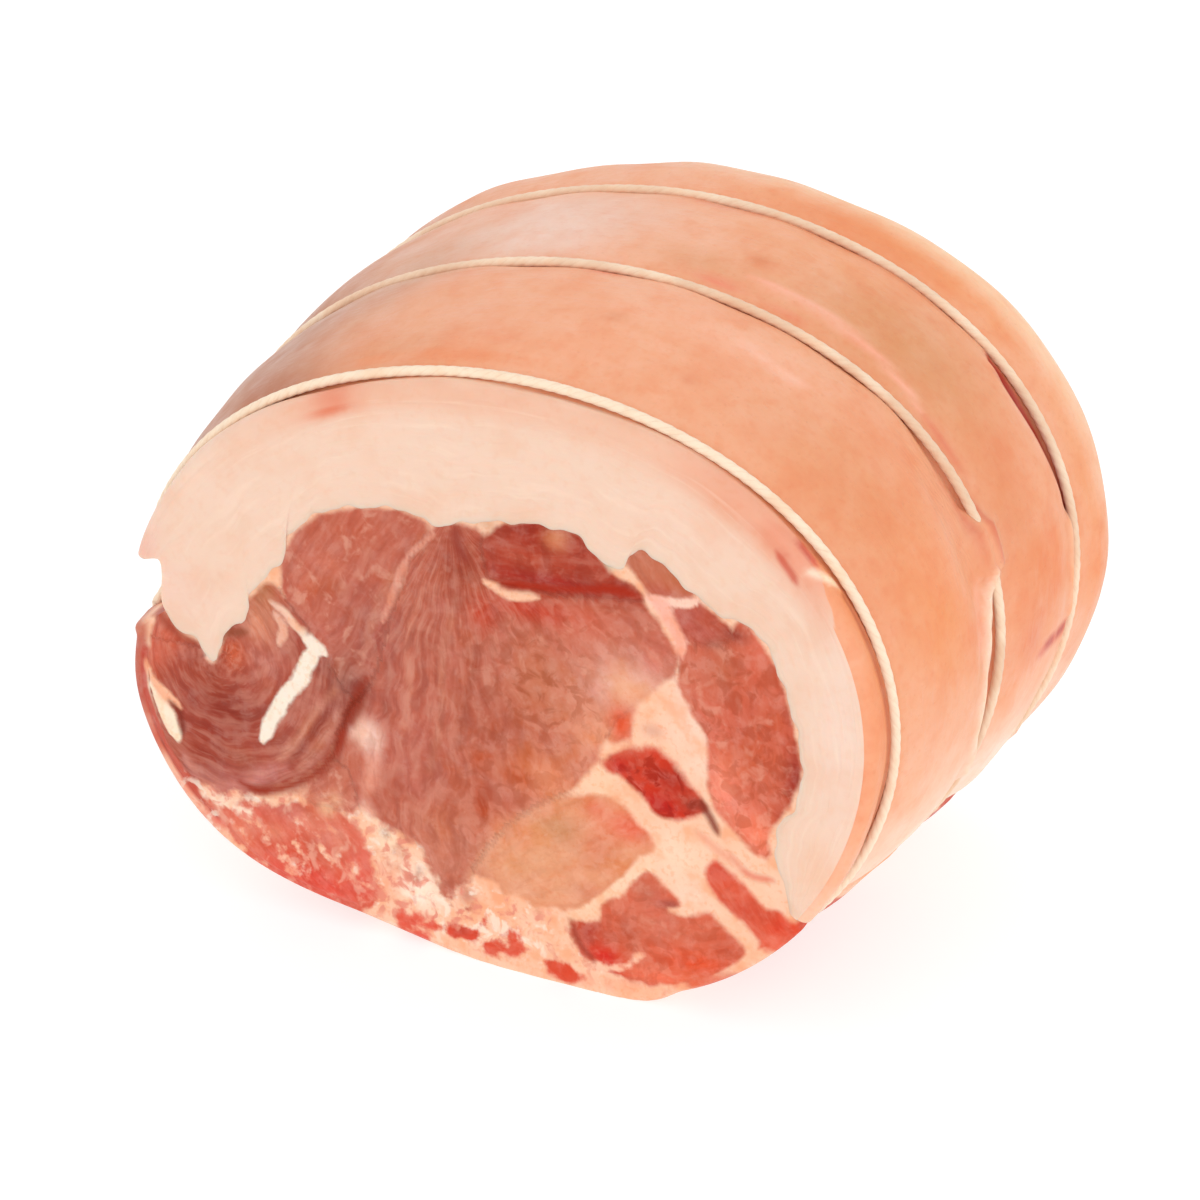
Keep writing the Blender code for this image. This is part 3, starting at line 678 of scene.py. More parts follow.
# The muscles on the front cut: colour, how the grain runs, how much it shows light streaks, flecks
# of fat and a brown net, and the outline in mm: across from the middle, and up.
MUSCLES = {
    "upper left": ((198, 114, 96), ("straight", 60), (0.5, 0.8, 0.2), (
        (-40, 62), (-41, 67), (-39.5, 73), (-34, 79), (-27, 82), (-19, 83.5), (-14.5, 83), (-11.5, 81.5),
        (-15, 76), (-17, 70), (-18.5, 64), (-18.5, 57), (-20, 50), (-26, 44.5), (-31.5, 50.5),
        (-36, 57.5))),
    "main": ((199, 114, 94), ("fan", -7.5, 85), (0.85, 0.35, 0.35), (
        (-9.5, 83), (-2.5, 83), (0, 78), (2, 74), (13, 74.5), (23, 76.5), (28, 76.5), (33.5, 71),
        (35.5, 65.5), (31, 60.5), (27.5, 56), (22.5, 49), (19.5, 43), (15.5, 38), (10, 34), (4.5, 29),
        (0.5, 23.5), (-3.5, 16.5), (-7.5, 12.5), (-10.5, 16), (-13, 20), (-17, 22), (-21.5, 23.5),
        (-26, 26), (-28.5, 30), (-30.5, 33), (-29.5, 41.5), (-25.5, 50.5), (-22.5, 57.5), (-19, 64.5),
        (-16.5, 71), (-14, 77))),
    "top": ((170, 54, 30), ("straight", 5), (0.35, 0.2, 0.6), (
        (-2.5, 81), (3, 85), (11, 87), (18, 85.5), (20.5, 82.5), (23, 80), (27.5, 78.5), (28.5, 75.6),
        (23, 74.4), (17.5, 74), (10.5, 73.4), (4, 73.2), (0, 74), (-2, 77))),
    "right lobe": ((202, 124, 96), ("straight", -50), (0.3, 0.2, 0.1), (
        (25.5, 82.5), (26.5, 85.5), (30.5, 86), (34.5, 83.5), (38.5, 80), (37, 78.5), (33, 77.5),
        (30, 77.5), (28, 80))),
    "right dark": ((196, 102, 90), ("straight", -40), (0.4, 0.1, 0.4), (
        (34, 76.5), (38, 78.5), (42.5, 76.5), (46.5, 73.5), (44.5, 71), (40, 70), (36.5, 71.5))),
    "right": ((214, 111, 84), ("straight", -75), (0.3, 0.6, 0.75), (
        (39, 71.5), (44, 73.5), (46.5, 76.5), (50, 74), (53.5, 69), (56, 63), (57.5, 57), (58.5, 51.5),
        (57.5, 47), (56, 44), (54, 40.5), (53, 37.5), (53.5, 34.5), (50.5, 35), (47, 37.5), (42.5, 42),
        (41.5, 47.5), (41, 53.5), (38.5, 57.5), (36, 61.5), (35.5, 66.5), (36.5, 70))),
    "small": ((214, 54, 14), ("straight", -35), (0.1, 0.2, 1.3), (
        (22, 45), (24, 47.5), (28, 49.5), (32, 50), (35.5, 48), (38.5, 45), (41, 42.5), (41.5, 40.5),
        (39, 39), (35, 37.5), (32, 38), (29.5, 40.5), (26, 43), (23, 43.5))),
    "spur": ((228, 106, 70), ("straight", 70), (0.4, 0.2, 0.1), (
        (22, 49.5), (23.5, 54), (28, 57.5), (27.5, 54), (27, 51), (24, 49))),
    "lower": ((238, 176, 138), ("straight", 30), (0.3, 0.5, 0.15), (
        (-3.5, 18.5), (0.5, 25), (6, 31.5), (12.5, 36.5), (17.5, 38), (20.5, 38.5), (24, 39), (27.5, 36.5),
        (31, 33.5), (32, 31), (29.5, 29), (26.5, 25), (23, 21), (19.5, 17.5), (15.5, 15.5), (10.5, 15),
        (5.5, 15.5), (1.5, 17))),
    "lower right": ((224, 116, 88), ("straight", 15), (0.3, 0.4, 0.5), (
        (16, 13.5), (21.5, 15), (22, 18.5), (26, 21), (30, 27), (33, 25.5), (37.5, 22), (34.5, 20.5),
        (38, 20), (42.5, 21.5), (46, 19), (49.5, 16.5), (50.5, 14.5), (48.5, 11.5), (43.5, 7), (37.5, 5),
        (31.5, 3.5), (26.5, 4.5), (23, 6), (20, 7), (17.5, 9))),
    "strip": ((230, 102, 74), ("straight", -50), (0.4, 0.2, 0.3), (
        (41.5, 29), (43, 31.5), (45, 31), (50, 28), (52.5, 25.5), (55.5, 25), (59.5, 22.5), (60, 20.5),
        (58, 18), (53.5, 16), (52.5, 18.5), (48, 22), (43.5, 25))),
    "swirl": ((177, 87, 70), ("round", -52, 49.5), (0.9, 0.1, 0.3), (
        (-66, 55.5), (-68, 53), (-69.5, 47), (-70.5, 41), (-69.5, 34), (-67, 27.5), (-62.5, 24),
        (-57, 22.5), (-50.5, 22.5), (-45, 24), (-37.5, 28.5), (-32.5, 33), (-28, 41), (-23.5, 50),
        (-27, 48), (-31, 53.5), (-35, 58.5), (-38, 61), (-40, 62.5), (-43.5, 65), (-47.5, 60.5),
        (-51.5, 55), (-55, 47), (-58, 50), (-62, 51), (-64.5, 54.5))),
    "below the swirl": ((206, 126, 106), ("straight", 40), (0.4, 1.0, 0.3), (
        (-39.5, 25), (-34.7, 29), (-31.1, 33), (-27.5, 37.2), (-25.7, 40), (-25.3, 36), (-24.9, 31),
        (-24.9, 25.8), (-27, 23.5), (-31.2, 24), (-35.7, 24))),
    "low left": ((228, 116, 96), ("straight", -45), (0.4, 1.1, 0.2), (
        (-56.5, 19), (-53, 20), (-48, 21.5), (-43, 21.5), (-37.5, 24), (-31.5, 24.5), (-27, 23.5),
        (-24, 18.5), (-22.5, 13.5), (-22, 9), (-25, 4), (-31.5, 2.5), (-38, 3.5), (-44, 6), (-50.5, 11))),
    "drop 1": ((238, 104, 84), ("straight", 0), (0.3, 0.3, 0.1), (
        (-18.5, 4.5), (-15, 6.5), (-12, 6), (-9.5, 4.5), (-13.5, 2.5), (-17, 3))),
    "drop 2": ((226, 84, 60), ("straight", 0), (0.2, 0.1, 0.3), (
        (-8, 5.5), (-5, 7.5), (-2, 6.5), (-2, 3.5), (-5, 3.5), (-7.5, 3.5))),
    "drop 3": ((232, 96, 70), ("straight", 0), (0.3, 0.2, 0.2), (
        (-1, 4), (2.5, 6.5), (6, 8.5), (7, 4), (3.5, 2.5), (0, 2.5))),
    "drop 4": ((228, 86, 56), ("straight", 0), (0.2, 0.1, 0.3), (
        (11.5, 3.5), (14.5, 5.5), (17.5, 4), (19.5, 2.5), (16.5, 1), (13, 2))),
}
# Patches of colour on the muscles: middle and reach in mm, colour, strength.
MEAT_PATCHES = (
    ((-28, 79), (9, 4), (202, 106, 78), 0.7), ((-31, 71), (3, 2.5), (222, 136, 112), 0.6),
    ((-36, 66), (3, 4), (214, 122, 96), 0.6), ((-23, 60), (5, 7), (172, 94, 84), 0.7),
    ((-6, 76), (4, 7), (164, 74, 56), 0.8), ((-12, 62), (5, 9), (182, 102, 84), 0.6),
    ((-17, 42), (8, 12), (192, 108, 96), 0.6), ((0, 55), (6, 12), (188, 108, 92), 0.6),
    ((10, 58), (8, 8), (206, 130, 98), 0.8), ((20, 68), (8, 4), (218, 132, 108), 0.6),
    ((27, 60), (8, 6), (250, 206, 190), 0.95), ((21, 50), (6, 6), (240, 174, 144), 0.9),
    ((32, 68), (3, 4), (222, 130, 112), 0.7), ((12, 40), (7, 5), (238, 158, 118), 0.85),
    ((4, 28), (5, 3), (238, 156, 116), 0.8), ((-9, 22), (7, 7), (216, 142, 118), 0.8),
    ((-3, 17), (4, 4), (196, 120, 100), 0.6), ((-0.6, 31), (2.4, 3.6), (192, 80, 36), 0.9),
    ((6, 39), (2.8, 1.9), (202, 94, 40), 0.9), ((8, 44), (2.4, 2.0), (204, 112, 66), 0.8),
    ((-1, 41), (2.6, 2.4), (200, 96, 54), 0.8), ((-1, 48), (4, 5), (184, 98, 72), 0.5),
    ((-1, 68), (2.6, 2.8), (200, 66, 28), 0.95), ((9.4, 70.8), (7.4, 2.2), (202, 54, 8), 0.95),
    ((18, 71), (6, 2.6), (216, 118, 96), 0.7), ((14, 76.4), (11, 1.5), (172, 20, 6), 0.9),
    ((2, 82), (4, 3), (180, 82, 60), 0.7), ((9, 79.8), (8, 2.0), (192, 86, 60), 0.8),
    ((13, 84.3), (2.3, 1.7), (240, 178, 138), 0.95), ((20, 80), (3, 4), (182, 78, 56), 0.8),
    ((16, 84), (5, 1.5), (176, 70, 52), 0.5), ((32, 79), (3, 1.5), (196, 100, 84), 0.7),
    ((46, 74), (2.4, 1.2), (140, 44, 32), 0.8), ((42, 71.5), (2, 1), (146, 52, 40), 0.7),
    ((51, 73), (2.5, 3), (232, 130, 112), 0.7), ((40, 66), (3, 4), (214, 128, 106), 0.7),
    ((44, 68), (3, 4), (200, 122, 98), 0.6), ((48, 58), (5, 6), (206, 100, 76), 0.5),
    ((44, 46), (3.8, 6), (255, 160, 136), 0.95), ((57.5, 50), (1.8, 7), (160, 44, 30), 0.9),
    ((56, 62), (1.6, 7), (206, 96, 78), 0.6), ((50.5, 38.5), (4, 4.6), (255, 150, 120), 0.95),
    ((55, 42), (1.3, 3), (184, 74, 56), 0.7), ((25.5, 45.6), (3.4, 2.5), (206, 32, 0), 0.95),
    ((29, 46.5), (2, 2), (200, 58, 26), 0.6), ((35, 45), (3, 2.5), (166, 52, 40), 0.6),
    ((33, 40), (3.2, 1.9), (196, 14, 8), 0.95), ((39, 41.5), (2.5, 1.8), (168, 74, 58), 0.8),
    ((8, 24), (7, 5), (236, 182, 144), 0.7), ((14, 31), (4, 2.5), (212, 162, 124), 0.8),
    ((22, 29), (4, 4), (226, 144, 114), 0.7), ((27.5, 34.5), (5, 3), (240, 116, 88), 0.95),
    ((21, 36.5), (2.5, 1.8), (240, 136, 110), 0.7), ((20, 20), (3, 2), (222, 146, 120), 0.6),
    ((20, 12.5), (3.2, 3), (186, 52, 20), 0.9), ((23.5, 8.5), (3.6, 2.4), (226, 26, 8), 0.95),
    ((28, 14), (3, 3), (190, 86, 58), 0.6), ((34, 17), (5, 3), (218, 130, 106), 0.8),
    ((41, 11.5), (7, 2.6), (240, 94, 50), 0.95), ((35, 6.5), (8, 2.2), (250, 132, 100), 0.9),
    ((25, 4.5), (2.5, 1.6), (220, 40, 24), 0.9), ((31, 23), (2.5, 2.5), (200, 124, 106), 0.7),
    ((35.5, 21.5), (2.5, 0.9), (166, 88, 78), 0.8), ((46, 16), (3, 3), (208, 92, 64), 0.6),
    ((44, 30), (2.5, 2), (222, 92, 74), 0.7), ((50, 24), (4, 2), (214, 88, 66), 0.6),
    ((57, 22), (2.5, 2), (232, 76, 44), 0.9), ((55, 18), (4, 1.6), (242, 124, 100), 0.9),
    ((-68, 47), (4, 7), (222, 116, 90), 0.9), ((-64, 50), (4, 3), (216, 108, 80), 0.8),
    ((-45, 57.5), (4, 5), (232, 168, 140), 0.9), ((-44.5, 63), (3, 2.8), (190, 120, 76), 0.9),
    ((-40, 64), (1.8, 2.2), (196, 96, 74), 0.7),
    ((-52, 39), (8, 4), (148, 54, 36), 0.85), ((-54, 34), (7, 2.5), (158, 54, 36), 0.7),
    ((-56, 29), (4.5, 2.4), (158, 54, 30), 0.85), ((-49, 30), (4, 2), (180, 102, 76), 0.6),
    ((-46.5, 24.4), (2.2, 1.2), (142, 58, 36), 0.8),
    ((-55, 25), (6, 2), (190, 124, 126), 0.8), ((-46, 27), (5, 2), (188, 118, 112), 0.6),
    ((-38, 36), (5, 6), (186, 104, 92), 0.6), ((-27, 49), (4, 6), (146, 84, 78), 0.85),
    ((-33, 51), (2.5, 3), (168, 98, 88), 0.6), ((-50.3, 50), (2.6, 2.8), (210, 98, 52), 0.95),
    ((-44, 50), (4, 5), (206, 128, 114), 0.7), ((-50, 15), (3, 3), (244, 150, 118), 0.7),
    ((-40, 14), (4, 4), (224, 88, 60), 0.8), ((-35, 10), (4, 2), (230, 78, 62), 0.7),
    ((-25, 10), (2, 2), (238, 84, 84), 0.7), ((-40, 22), (5, 2), (206, 122, 112), 0.7),
    ((-30, 20), (4, 2.5), (232, 142, 122), 0.7), ((-27, 13), (3, 3), (234, 112, 92), 0.7),
    ((-34, 17), (2, 3), (200, 104, 80), 0.5), ((-5, 6), (1.6, 1.2), (192, 64, 40), 0.7),
    ((25.4, 53.6), (1.9, 3.2), (236, 96, 52), 0.95), ((-45, 9), (6, 3), (236, 104, 88), 0.8),
    ((-33, 8), (8, 4), (236, 84, 68), 0.85), ((-56, 18), (3, 3), (232, 138, 118), 0.8),
    ((-35.5, 20.4), (2.6, 2), (240, 156, 134), 0.8), ((-29.5, 18.5), (2, 2.4), (238, 156, 136), 0.7),
    ((-42.5, 17), (3, 1.6), (242, 158, 132), 0.7), ((-32, 23.7), (1.7, 1.4), (255, 226, 196), 0.7),
    ((-29.8, 26.4), (1.4, 1.7), (250, 206, 180), 0.7),
    ((-37.2, 25.8), (1.7, 1.1), (244, 190, 160), 0.7),
)
# Strokes of colour on them: points in mm, half width in mm, colour, strength.
MEAT_STROKES = (
    (((-41.3, 31.5), (-37.4, 36.5), (-33.6, 42.6), (-29.8, 47.5)), 0.7, (214, 154, 134), 0.8),
    (((-37.5, 30.2), (-33.1, 36.5), (-29.3, 43.5)), 0.7, (208, 146, 126), 0.7),
    (((-39.5, 31), (-35.4, 36.5), (-31.4, 43)), 0.6, (144, 66, 50), 0.6),
    (((-36.5, 51), (-39, 44.5), (-42, 39)), 0.7, (150, 70, 54), 0.6),
    (((-24, 56), (-21, 66), (-17.5, 73)), 0.7, (206, 146, 126), 0.6),
    (((-16.5, 64), (-19, 54), (-19.5, 44)), 0.8, (164, 88, 78), 0.6),
    (((-13, 70), (-15.5, 60), (-15, 50), (-17, 40)), 0.6, (214, 146, 126), 0.6),
    (((-6, 70), (-8.5, 58), (-9, 47), (-11, 36)), 0.6, (212, 148, 126), 0.5),
    (((-2, 62), (-3.5, 52), (-5.5, 42)), 0.6, (170, 90, 70), 0.5),
    (((-26.0, 40.2), (-23.4, 40.6), (-22.6, 37.6)), 2.3, (255, 226, 216), 1.0),
    (((-22.2, 37), (-22.6, 33.5), (-23.4, 29.4)), 1.4, (240, 176, 158), 0.8),
    (((-23.9, 26.4), (-24.1, 21.4)), 1.8, (252, 206, 188), 0.85),
    (((-61, 27.5), (-58, 23.8), (-53.6, 23), (-49, 24.6), (-43.2, 28.7), (-40.2, 30.1)), 1.2,
     (214, 150, 146), 0.75),
    (((-3.5, 17), (0.5, 23.5), (6, 30), (12.5, 35), (19.5, 40)), 0.8, (238, 182, 152), 0.75),
)
# How ragged and how soft the edges of the meat are: middle and reach in mm, mm to and fro, times softer.
RAGGED = 0.9
RAGGED_PATCHES = (
    ((-40, 14), (17, 9), 6.6, 1.6), ((-4, 9), (20, 6), 6.0, 1.6), ((-38, 47), (6, 13), 1.6, 1.0),
    ((-65, 36), (5, 9), 2.0, 1.0), ((22, 6), (14, 6), 2.6, 1.2), ((-31, 26), (9, 5), 3.4, 1.8),
    ((32, 52), (7, 8), 1.6, 1.6), ((-55, 21), (9, 4), 4.0, 1.8), ((-16, 18), (9, 6), 3.6, 2.6),
)
MARBLED = (1.4, 3.4)       # how ragged it is where fat starts to run through the meat, and all over
# Where streaks, flecks and net differ from the rest of their muscle.
LOOK_PATCHES = (
    ((12, 58), (13, 11), (0.15, 0.5, 1.0), 0.95), ((27, 60), (7, 6), (0.1, 0.1, 0.0), 0.95),
    ((4, 37), (8, 8), (0.4, 0.2, 0.8), 0.7), ((-17, 50), (9, 22), (1.0, 0.1, 0.0), 0.8),
    ((22, 70), (10, 5), (0.2, 0.5, 0.5), 0.8), ((-52, 36), (12, 8), (0.7, 0.0, 0.1), 0.8),
    ((-6.5, 81), (6, 8), (0.3, 0.3, 0.4), 0.95),
)
DEEPER_MEAT = (0.90, 0.75, 0.67) # what lies under the sheen, which adds white to what is seen
OUTER_MEAT = seen(196, 92, 74)
DARK = seen(120, 30, 15)
# The colours of the fat between the muscles, as the patches above.
BETWEEN = seen(246, 194, 162)
BETWEEN_PATCHES = (
    ((-31, 23.5), (2.2, 2), (250, 214, 176), 0.9), ((-20, 22), (2, 4), (248, 220, 188), 0.9),
    ((-14, 12.5), (5, 4), (255, 232, 210), 0.95), ((-19.5, 12.5), (2, 2), (242, 164, 130), 0.8),
    ((6, 14), (9, 3), (248, 184, 148), 0.7), ((38, 60), (4, 8), (249, 208, 188), 0.9),
    ((40, 52), (3, 8), (250, 206, 182), 0.8), ((21, 41), (4, 4), (248, 200, 162), 0.7),
    ((36, 31), (5, 4), (252, 212, 184), 0.8), ((31, 53), (2, 1.2), (214, 148, 124), 0.7),
    ((39, 24), (3, 3), (252, 214, 192), 0.7), ((-71.5, 42), (1.6, 16), (176, 66, 52), 0.95),
    ((-68.5, 30), (2.6, 6), (206, 104, 88), 0.9), ((-38, 8), (12, 5), (244, 170, 146), 0.8),
    ((-62, 21), (5, 3), (232, 150, 132), 0.8), ((-55, 15.5), (5, 2), (222, 96, 80), 0.9),
    ((-8.4, 18), (1.0, 1.0), (180, 120, 92), 0.7), ((-20.4, 21.5), (0.9, 0.8), (168, 104, 92), 0.8),
    ((-4, 13.5), (1.6, 1.8), (194, 116, 94), 0.8), ((-58, 48.5), (2, 2), (246, 214, 196), 0.9),
    ((22, 81.5), (1.4, 1.2), (196, 184, 158), 0.9), ((-14, 82), (2, 1.2), (216, 150, 128), 0.6),
    ((0, 84), (2.5, 1.2), (214, 176, 150), 0.7), ((-66, 36), (1.2, 5), (244, 214, 190), 0.8),
    ((30, 2.5), (14, 1.2), (250, 170, 130), 0.7), ((47, 5), (6, 2), (248, 160, 130), 0.8),
)
# Lines of fat over the muscles, and red or dark lines over all: points, half width, colour, strength.
FAT_LINES = (
    (((-70.4, 46), (-69.8, 38), (-66.2, 29), (-61.4, 22.3), (-56, 17)), 1.0, (192, 76, 60), 0.9),
    (((-42.8, 61.7), (-39.7, 59.9), (-37.5, 57.8), (-34, 55)), 0.7, (240, 200, 176), 0.9),
    (((-34, 55.5), (-34.8, 52.5), (-37, 48), (-39.9, 43.8), (-42.2, 39.9), (-44.6, 34.6)), 1.5,
     (242, 228, 210), 1.0),
    (((-36, 56.2), (-33.5, 55), (-31.8, 53.8)), 1.1, (242, 224, 206), 0.9),
    (((-10.5, 80.6), (-12.6, 78.6), (-15.2, 75.6), (-17, 72.5), (-18.5, 68), (-20.4, 62.3)), 0.6,
     (214, 142, 122), 0.9),
    (((-0.7, 74.1), (2.2, 72.8), (4.4, 72.4), (9.5, 73)), 0.75, (246, 190, 156), 0.8),
    (((31, 28), (25.5, 23), (21, 18), (17, 15)), 0.7, (248, 206, 174), 0.9),
    (((30.5, 11), (28.5, 8.5), (26, 7), (21, 5.5)), 0.7, (248, 190, 160), 0.9),
    (((-68, 42), (-66.3, 38.5), (-64.6, 34.8), (-62.4, 31)), 1.8, (246, 226, 200), 1.0),
    (((-69.8, 43.6), (-66, 40.6), (-61.6, 37)), 0.7, (240, 164, 124), 0.8),
    (((-58, 20.6), (-53, 20), (-47.5, 19.6)), 0.8, (248, 214, 190), 0.9),
    (((30, 77.2), (34, 77.2), (38.5, 78)), 0.8, (248, 200, 180), 0.9),
    (((31, 77.5), (33.5, 74.5), (36, 71), (36, 68)), 0.8, (244, 178, 158), 0.9),
    (((-42, 60), (-40, 57), (-41, 54)), 0.7, (216, 150, 130), 0.6),
)
DARK_LINES = (
    (((-23.6, 51), (-25.4, 47.6), (-27.6, 43), (-28.6, 39.6), (-30.4, 34.9), (-34, 30.4), (-38.3, 27.2),
      (-43, 24.8), (-46, 24), (-49.5, 25)), 1.0, (152, 40, 8), 0.95, 0.2),
    (((-24.4, 49.6), (-25.6, 46), (-28, 41)), 1.4, (142, 40, 12), 0.9, 0.2),
    (((2.2, 73.9), (6.1, 74.4), (10.9, 74.9), (15.7, 75.6), (20.4, 76.8), (24.5, 77.4), (28, 76.6)), 0.8,
     (166, 36, 0), 1.0, 0.5),
    (((-63.9, 37.9), (-62.2, 36.4), (-61.4, 34), (-61.4, 32)), 0.6, (118, 34, 18), 0.8, 0.1),
    (((-6.6, 82.6), (-5.6, 79.2), (-4, 77)), 0.9, (142, 44, 28), 0.7, 0.15),
    (((-65.4, 53.6), (-63, 51.6), (-60, 50.4), (-58, 50)), 0.8, (160, 62, 40), 0.8, 0.1),
    (((-53.4, 51.4), (-52.6, 53.2), (-50, 54), (-47.6, 54.8)), 0.7, (140, 66, 36), 0.8, 0.15),
    (((40.5, 42.2), (42, 39.6), (43.6, 36.8)), 0.7, (128, 40, 22), 0.9, 0.1),
    (((45.5, 33.5), (49.5, 30.5), (54, 30.5)), 0.6, (226, 122, 96), 0.8, 0.1),
    (((40, 36), (44, 33.5), (48, 31.5)), 0.7, (232, 150, 122), 0.6, 0.1),
    (((16.5, 13.5), (18, 10), (21, 7)), 0.7, (140, 36, 14), 0.6, 0.15),
)


def inside_by(outline, where):
    """How far each place lies inside a closed outline: below 0 outside of it."""
    line = curve_through([*outline, outline[0]], np.linspace(0, 1, 4 * len(outline)))
    crossings = np.zeros(len(where), int)
    for (x0, z0), (x1, z1) in zip(line, line[1:]):
        between = (z0 > where[:, 1]) != (z1 > where[:, 1])
        reach = x0 + (x1 - x0) * (where[:, 1] - z0) / (z1 - z0 if z1 != z0 else 1)
        crossings += between & (where[:, 0] < reach)
    return line_distance(line, where)[0] * np.where(crossings % 2 == 1, 1, -1)


def grain_place(run, place):
    """Coordinates along and across the grain of a muscle, in mm."""
    kind, *where = run
    if kind == "straight":
        x, z = place.T
        turn = math.radians(where[0])
        along_it = x * math.cos(turn) + z * math.sin(turn)
        across_it = z * math.cos(turn) - x * math.sin(turn)
        return np.stack([along_it, across_it], axis=-1)
    x, z = (place - where).T
    distance = np.hypot(x, z)
    if kind == "round":
        return np.stack([SWIRL_RADIAN * np.arctan2(z, x), distance], axis=-1)
    width = FAN_WIDTH * (1 - FAN_NARROWS * np.clip(distance / FAN_LENGTH, 0, 1) ** 4)
    return np.stack([distance, FAN_RADIAN * np.arctan2(x, -z) / width], axis=-1)


# What each place shows: the colour, the looks and the grain of its muscle, and how far inside it is.
turned = SIDE_TWIST * np.sin(depth / TWIST_DEPTH) * soft_step(0, 0.02, depth)
x, z = (flat * MM - TWIST_MIDDLE).T
turned_x, turned_z = x * np.cos(turned) - z * np.sin(turned), x * np.sin(turned) + z * np.cos(turned)
place = np.stack([turned_x, turned_z], axis=-1) + TWIST_MIDDLE
weights, edge = np.zeros(len(place)), np.full(len(place), -FAR_OUTSIDE)
tone, looks, grain = np.zeros((len(place), 3)), np.zeros((len(place), 3)), np.zeros((len(place), 3))
for number, (colour, run, its_looks, outline) in enumerate(MUSCLES.values()):
    inside = inside_by(outline, place)
    weight = np.exp(np.clip(inside, -12, 4) / MUSCLE_SOFT)
    weights += weight
    tone += weight[:, None] * seen(*colour)
    looks += weight[:, None] * its_looks
    nearest = inside > edge
    edge = np.where(nearest, inside, edge)
    apart = np.full((len(place), 1), GRAIN_APART * number)
    grain = np.where(nearest[:, None], np.hstack([grain_place(run, place), apart]), grain)
tone, looks = tone / weights[:, None], looks / weights[:, None]
tone = brushed(patched(tone, place, MEAT_PATCHES), place, MEAT_STROKES, 0.9) * DEEPER_MEAT
for middle, reach, its_looks, strength in LOOK_PATCHES:
    looks = blended(looks, np.array(its_looks), strength * spot(place, middle, reach))
between = patched(np.tile(BETWEEN, (len(place), 1)), place, BETWEEN_PATCHES)
relief = MEAT_SWELL * soft_step(0, 3, edge) - FAT_SINK * soft_step(0, -1.5, edge)
ragged, softer = np.full(len(place), RAGGED), np.ones(len(place))
for middle, reach, far, times in RAGGED_PATCHES:
    ragged += (far - ragged) * spot(place, middle, reach)
    softer += (times - softer) * spot(place, middle, reach)
marbled = soft_step(*MARBLED, ragged)
most = EDGE_MOST[0] + (EDGE_MOST[1] - EDGE_MOST[0]) * marbled
edge = np.clip(edge, -most, most)
for points, half_width, colour, strength in FAT_LINES:
    near = nearness(place, points, half_width)
    edge = np.minimum(edge, -FAT_LINE_SLOPE * near)
    between = blended(between, seen(*colour), strength * soft_step(-1.5, -0.2, near))
    relief += FAT_LINE_SWELL * soft_step(-0.3, 0.3, near)
dark_tone, dark = np.tile(DARK, (len(place), 1)), np.zeros(len(place))
for points, half_width, colour, strength, sunk in DARK_LINES:
    line = stroke(place, points, half_width, 0.7)
    dark_tone = blended(dark_tone, seen(*colour), soft_step(0.02, 0.3, line))
    dark = np.maximum(dark, line * strength)
    relief -= sunk * stroke(place, points, half_width + 0.7, 0.9)

# The relief of the two cuts, which runs out towards their rim, and the uneven outer side.
line_with_fat = fat_line(np.linspace(0, 1, 160)) * MM
x, z = (flat - CENTRE).T
from_skin = (section_radius(np.arctan2(z, x)) - np.hypot(x, z)) * MM
from_rim = np.minimum(from_skin, line_distance(line_with_fat, flat * MM)[0])
relief *= soft_step(0, 1.8, from_rim) / MM
side_lumps = SIDE_LUMPS * np.sin(depth * 300 + 6 * across) * np.sin(24 * across + 9 * upward + 60 * depth)
side_lumps *= soft_step(0, 0.008, depth) * (from_skin < 0.5)
lean_points = carried(*flat.T, depth, side_lumps / MM)
lean_points[:, 1] += relief * ((ring == 1) * 1.0 - (ring == 0))
lean_mesh.vertices.foreach_set("co", lean_points.ravel())

# On the outer side the grain runs along the roll, and there is neither marbling nor a dark line.
on_side = (ring > 0) & (ring < 1)
outside = soft_step(0, 0.004, depth) * on_side
tone = blended(tone, OUTER_MEAT, 0.5 * outside)
x, z = (place - TWIST_MIDDLE).T
side_grain = np.stack([depth * MM, np.hypot(x, z) + SIDE_RADIAN * np.arctan2(x, z), 0 * x], axis=-1)
grain = np.where((on_side & (depth > 0.001))[:, None], side_grain, grain)
looks[:, 0] = np.where(on_side, SIDE_STREAKS * outside, looks[:, 0])
store(lean_mesh, "tone", tone)
store(lean_mesh, "between", between)
store(lean_mesh, "dark_tone", dark_tone)
store(lean_mesh, "looks", looks)
store(lean_mesh, "grain", grain)
store(lean_mesh, "edge", edge / softer)
store(lean_mesh, "ragged", ragged / softer)
store(lean_mesh, "marbled", marbled * (1 - outside))
store(lean_mesh, "dark", dark * (1 - outside))

meat, tree, shader = new_material("lean pork")
where = node(tree, "ShaderNodeTexCoord", {}).outputs["Object"]
# The grain: broad and thin streaks along the muscle, swayed a little.
sway = node(tree, "ShaderNodeTexNoise", {"Vector": where, "Scale": 120.0, "Detail": 2.0}).outputs["Color"]
sway = moved(tree, "MULTIPLY", moved(tree, "SUBTRACT", sway, (0.5, 0.5, 0.5)), (4.0, 4.0, 0.0))
grain_at = moved(tree, "ADD", stored(tree, "grain"), sway)
streak = noise(tree, moved(tree, "MULTIPLY", grain_at, (0.14, 0.55, 1.0)), 1.0, 2.0)
thin_streak = noise(tree, moved(tree, "MULTIPLY", grain_at, (0.22, 1.3, 1.0)), 1.0, 2.0)
streakiness, fleckiness, nettedness = node(
    tree, "ShaderNodeSeparateXYZ", {"Vector": stored(tree, "looks")}).outputs
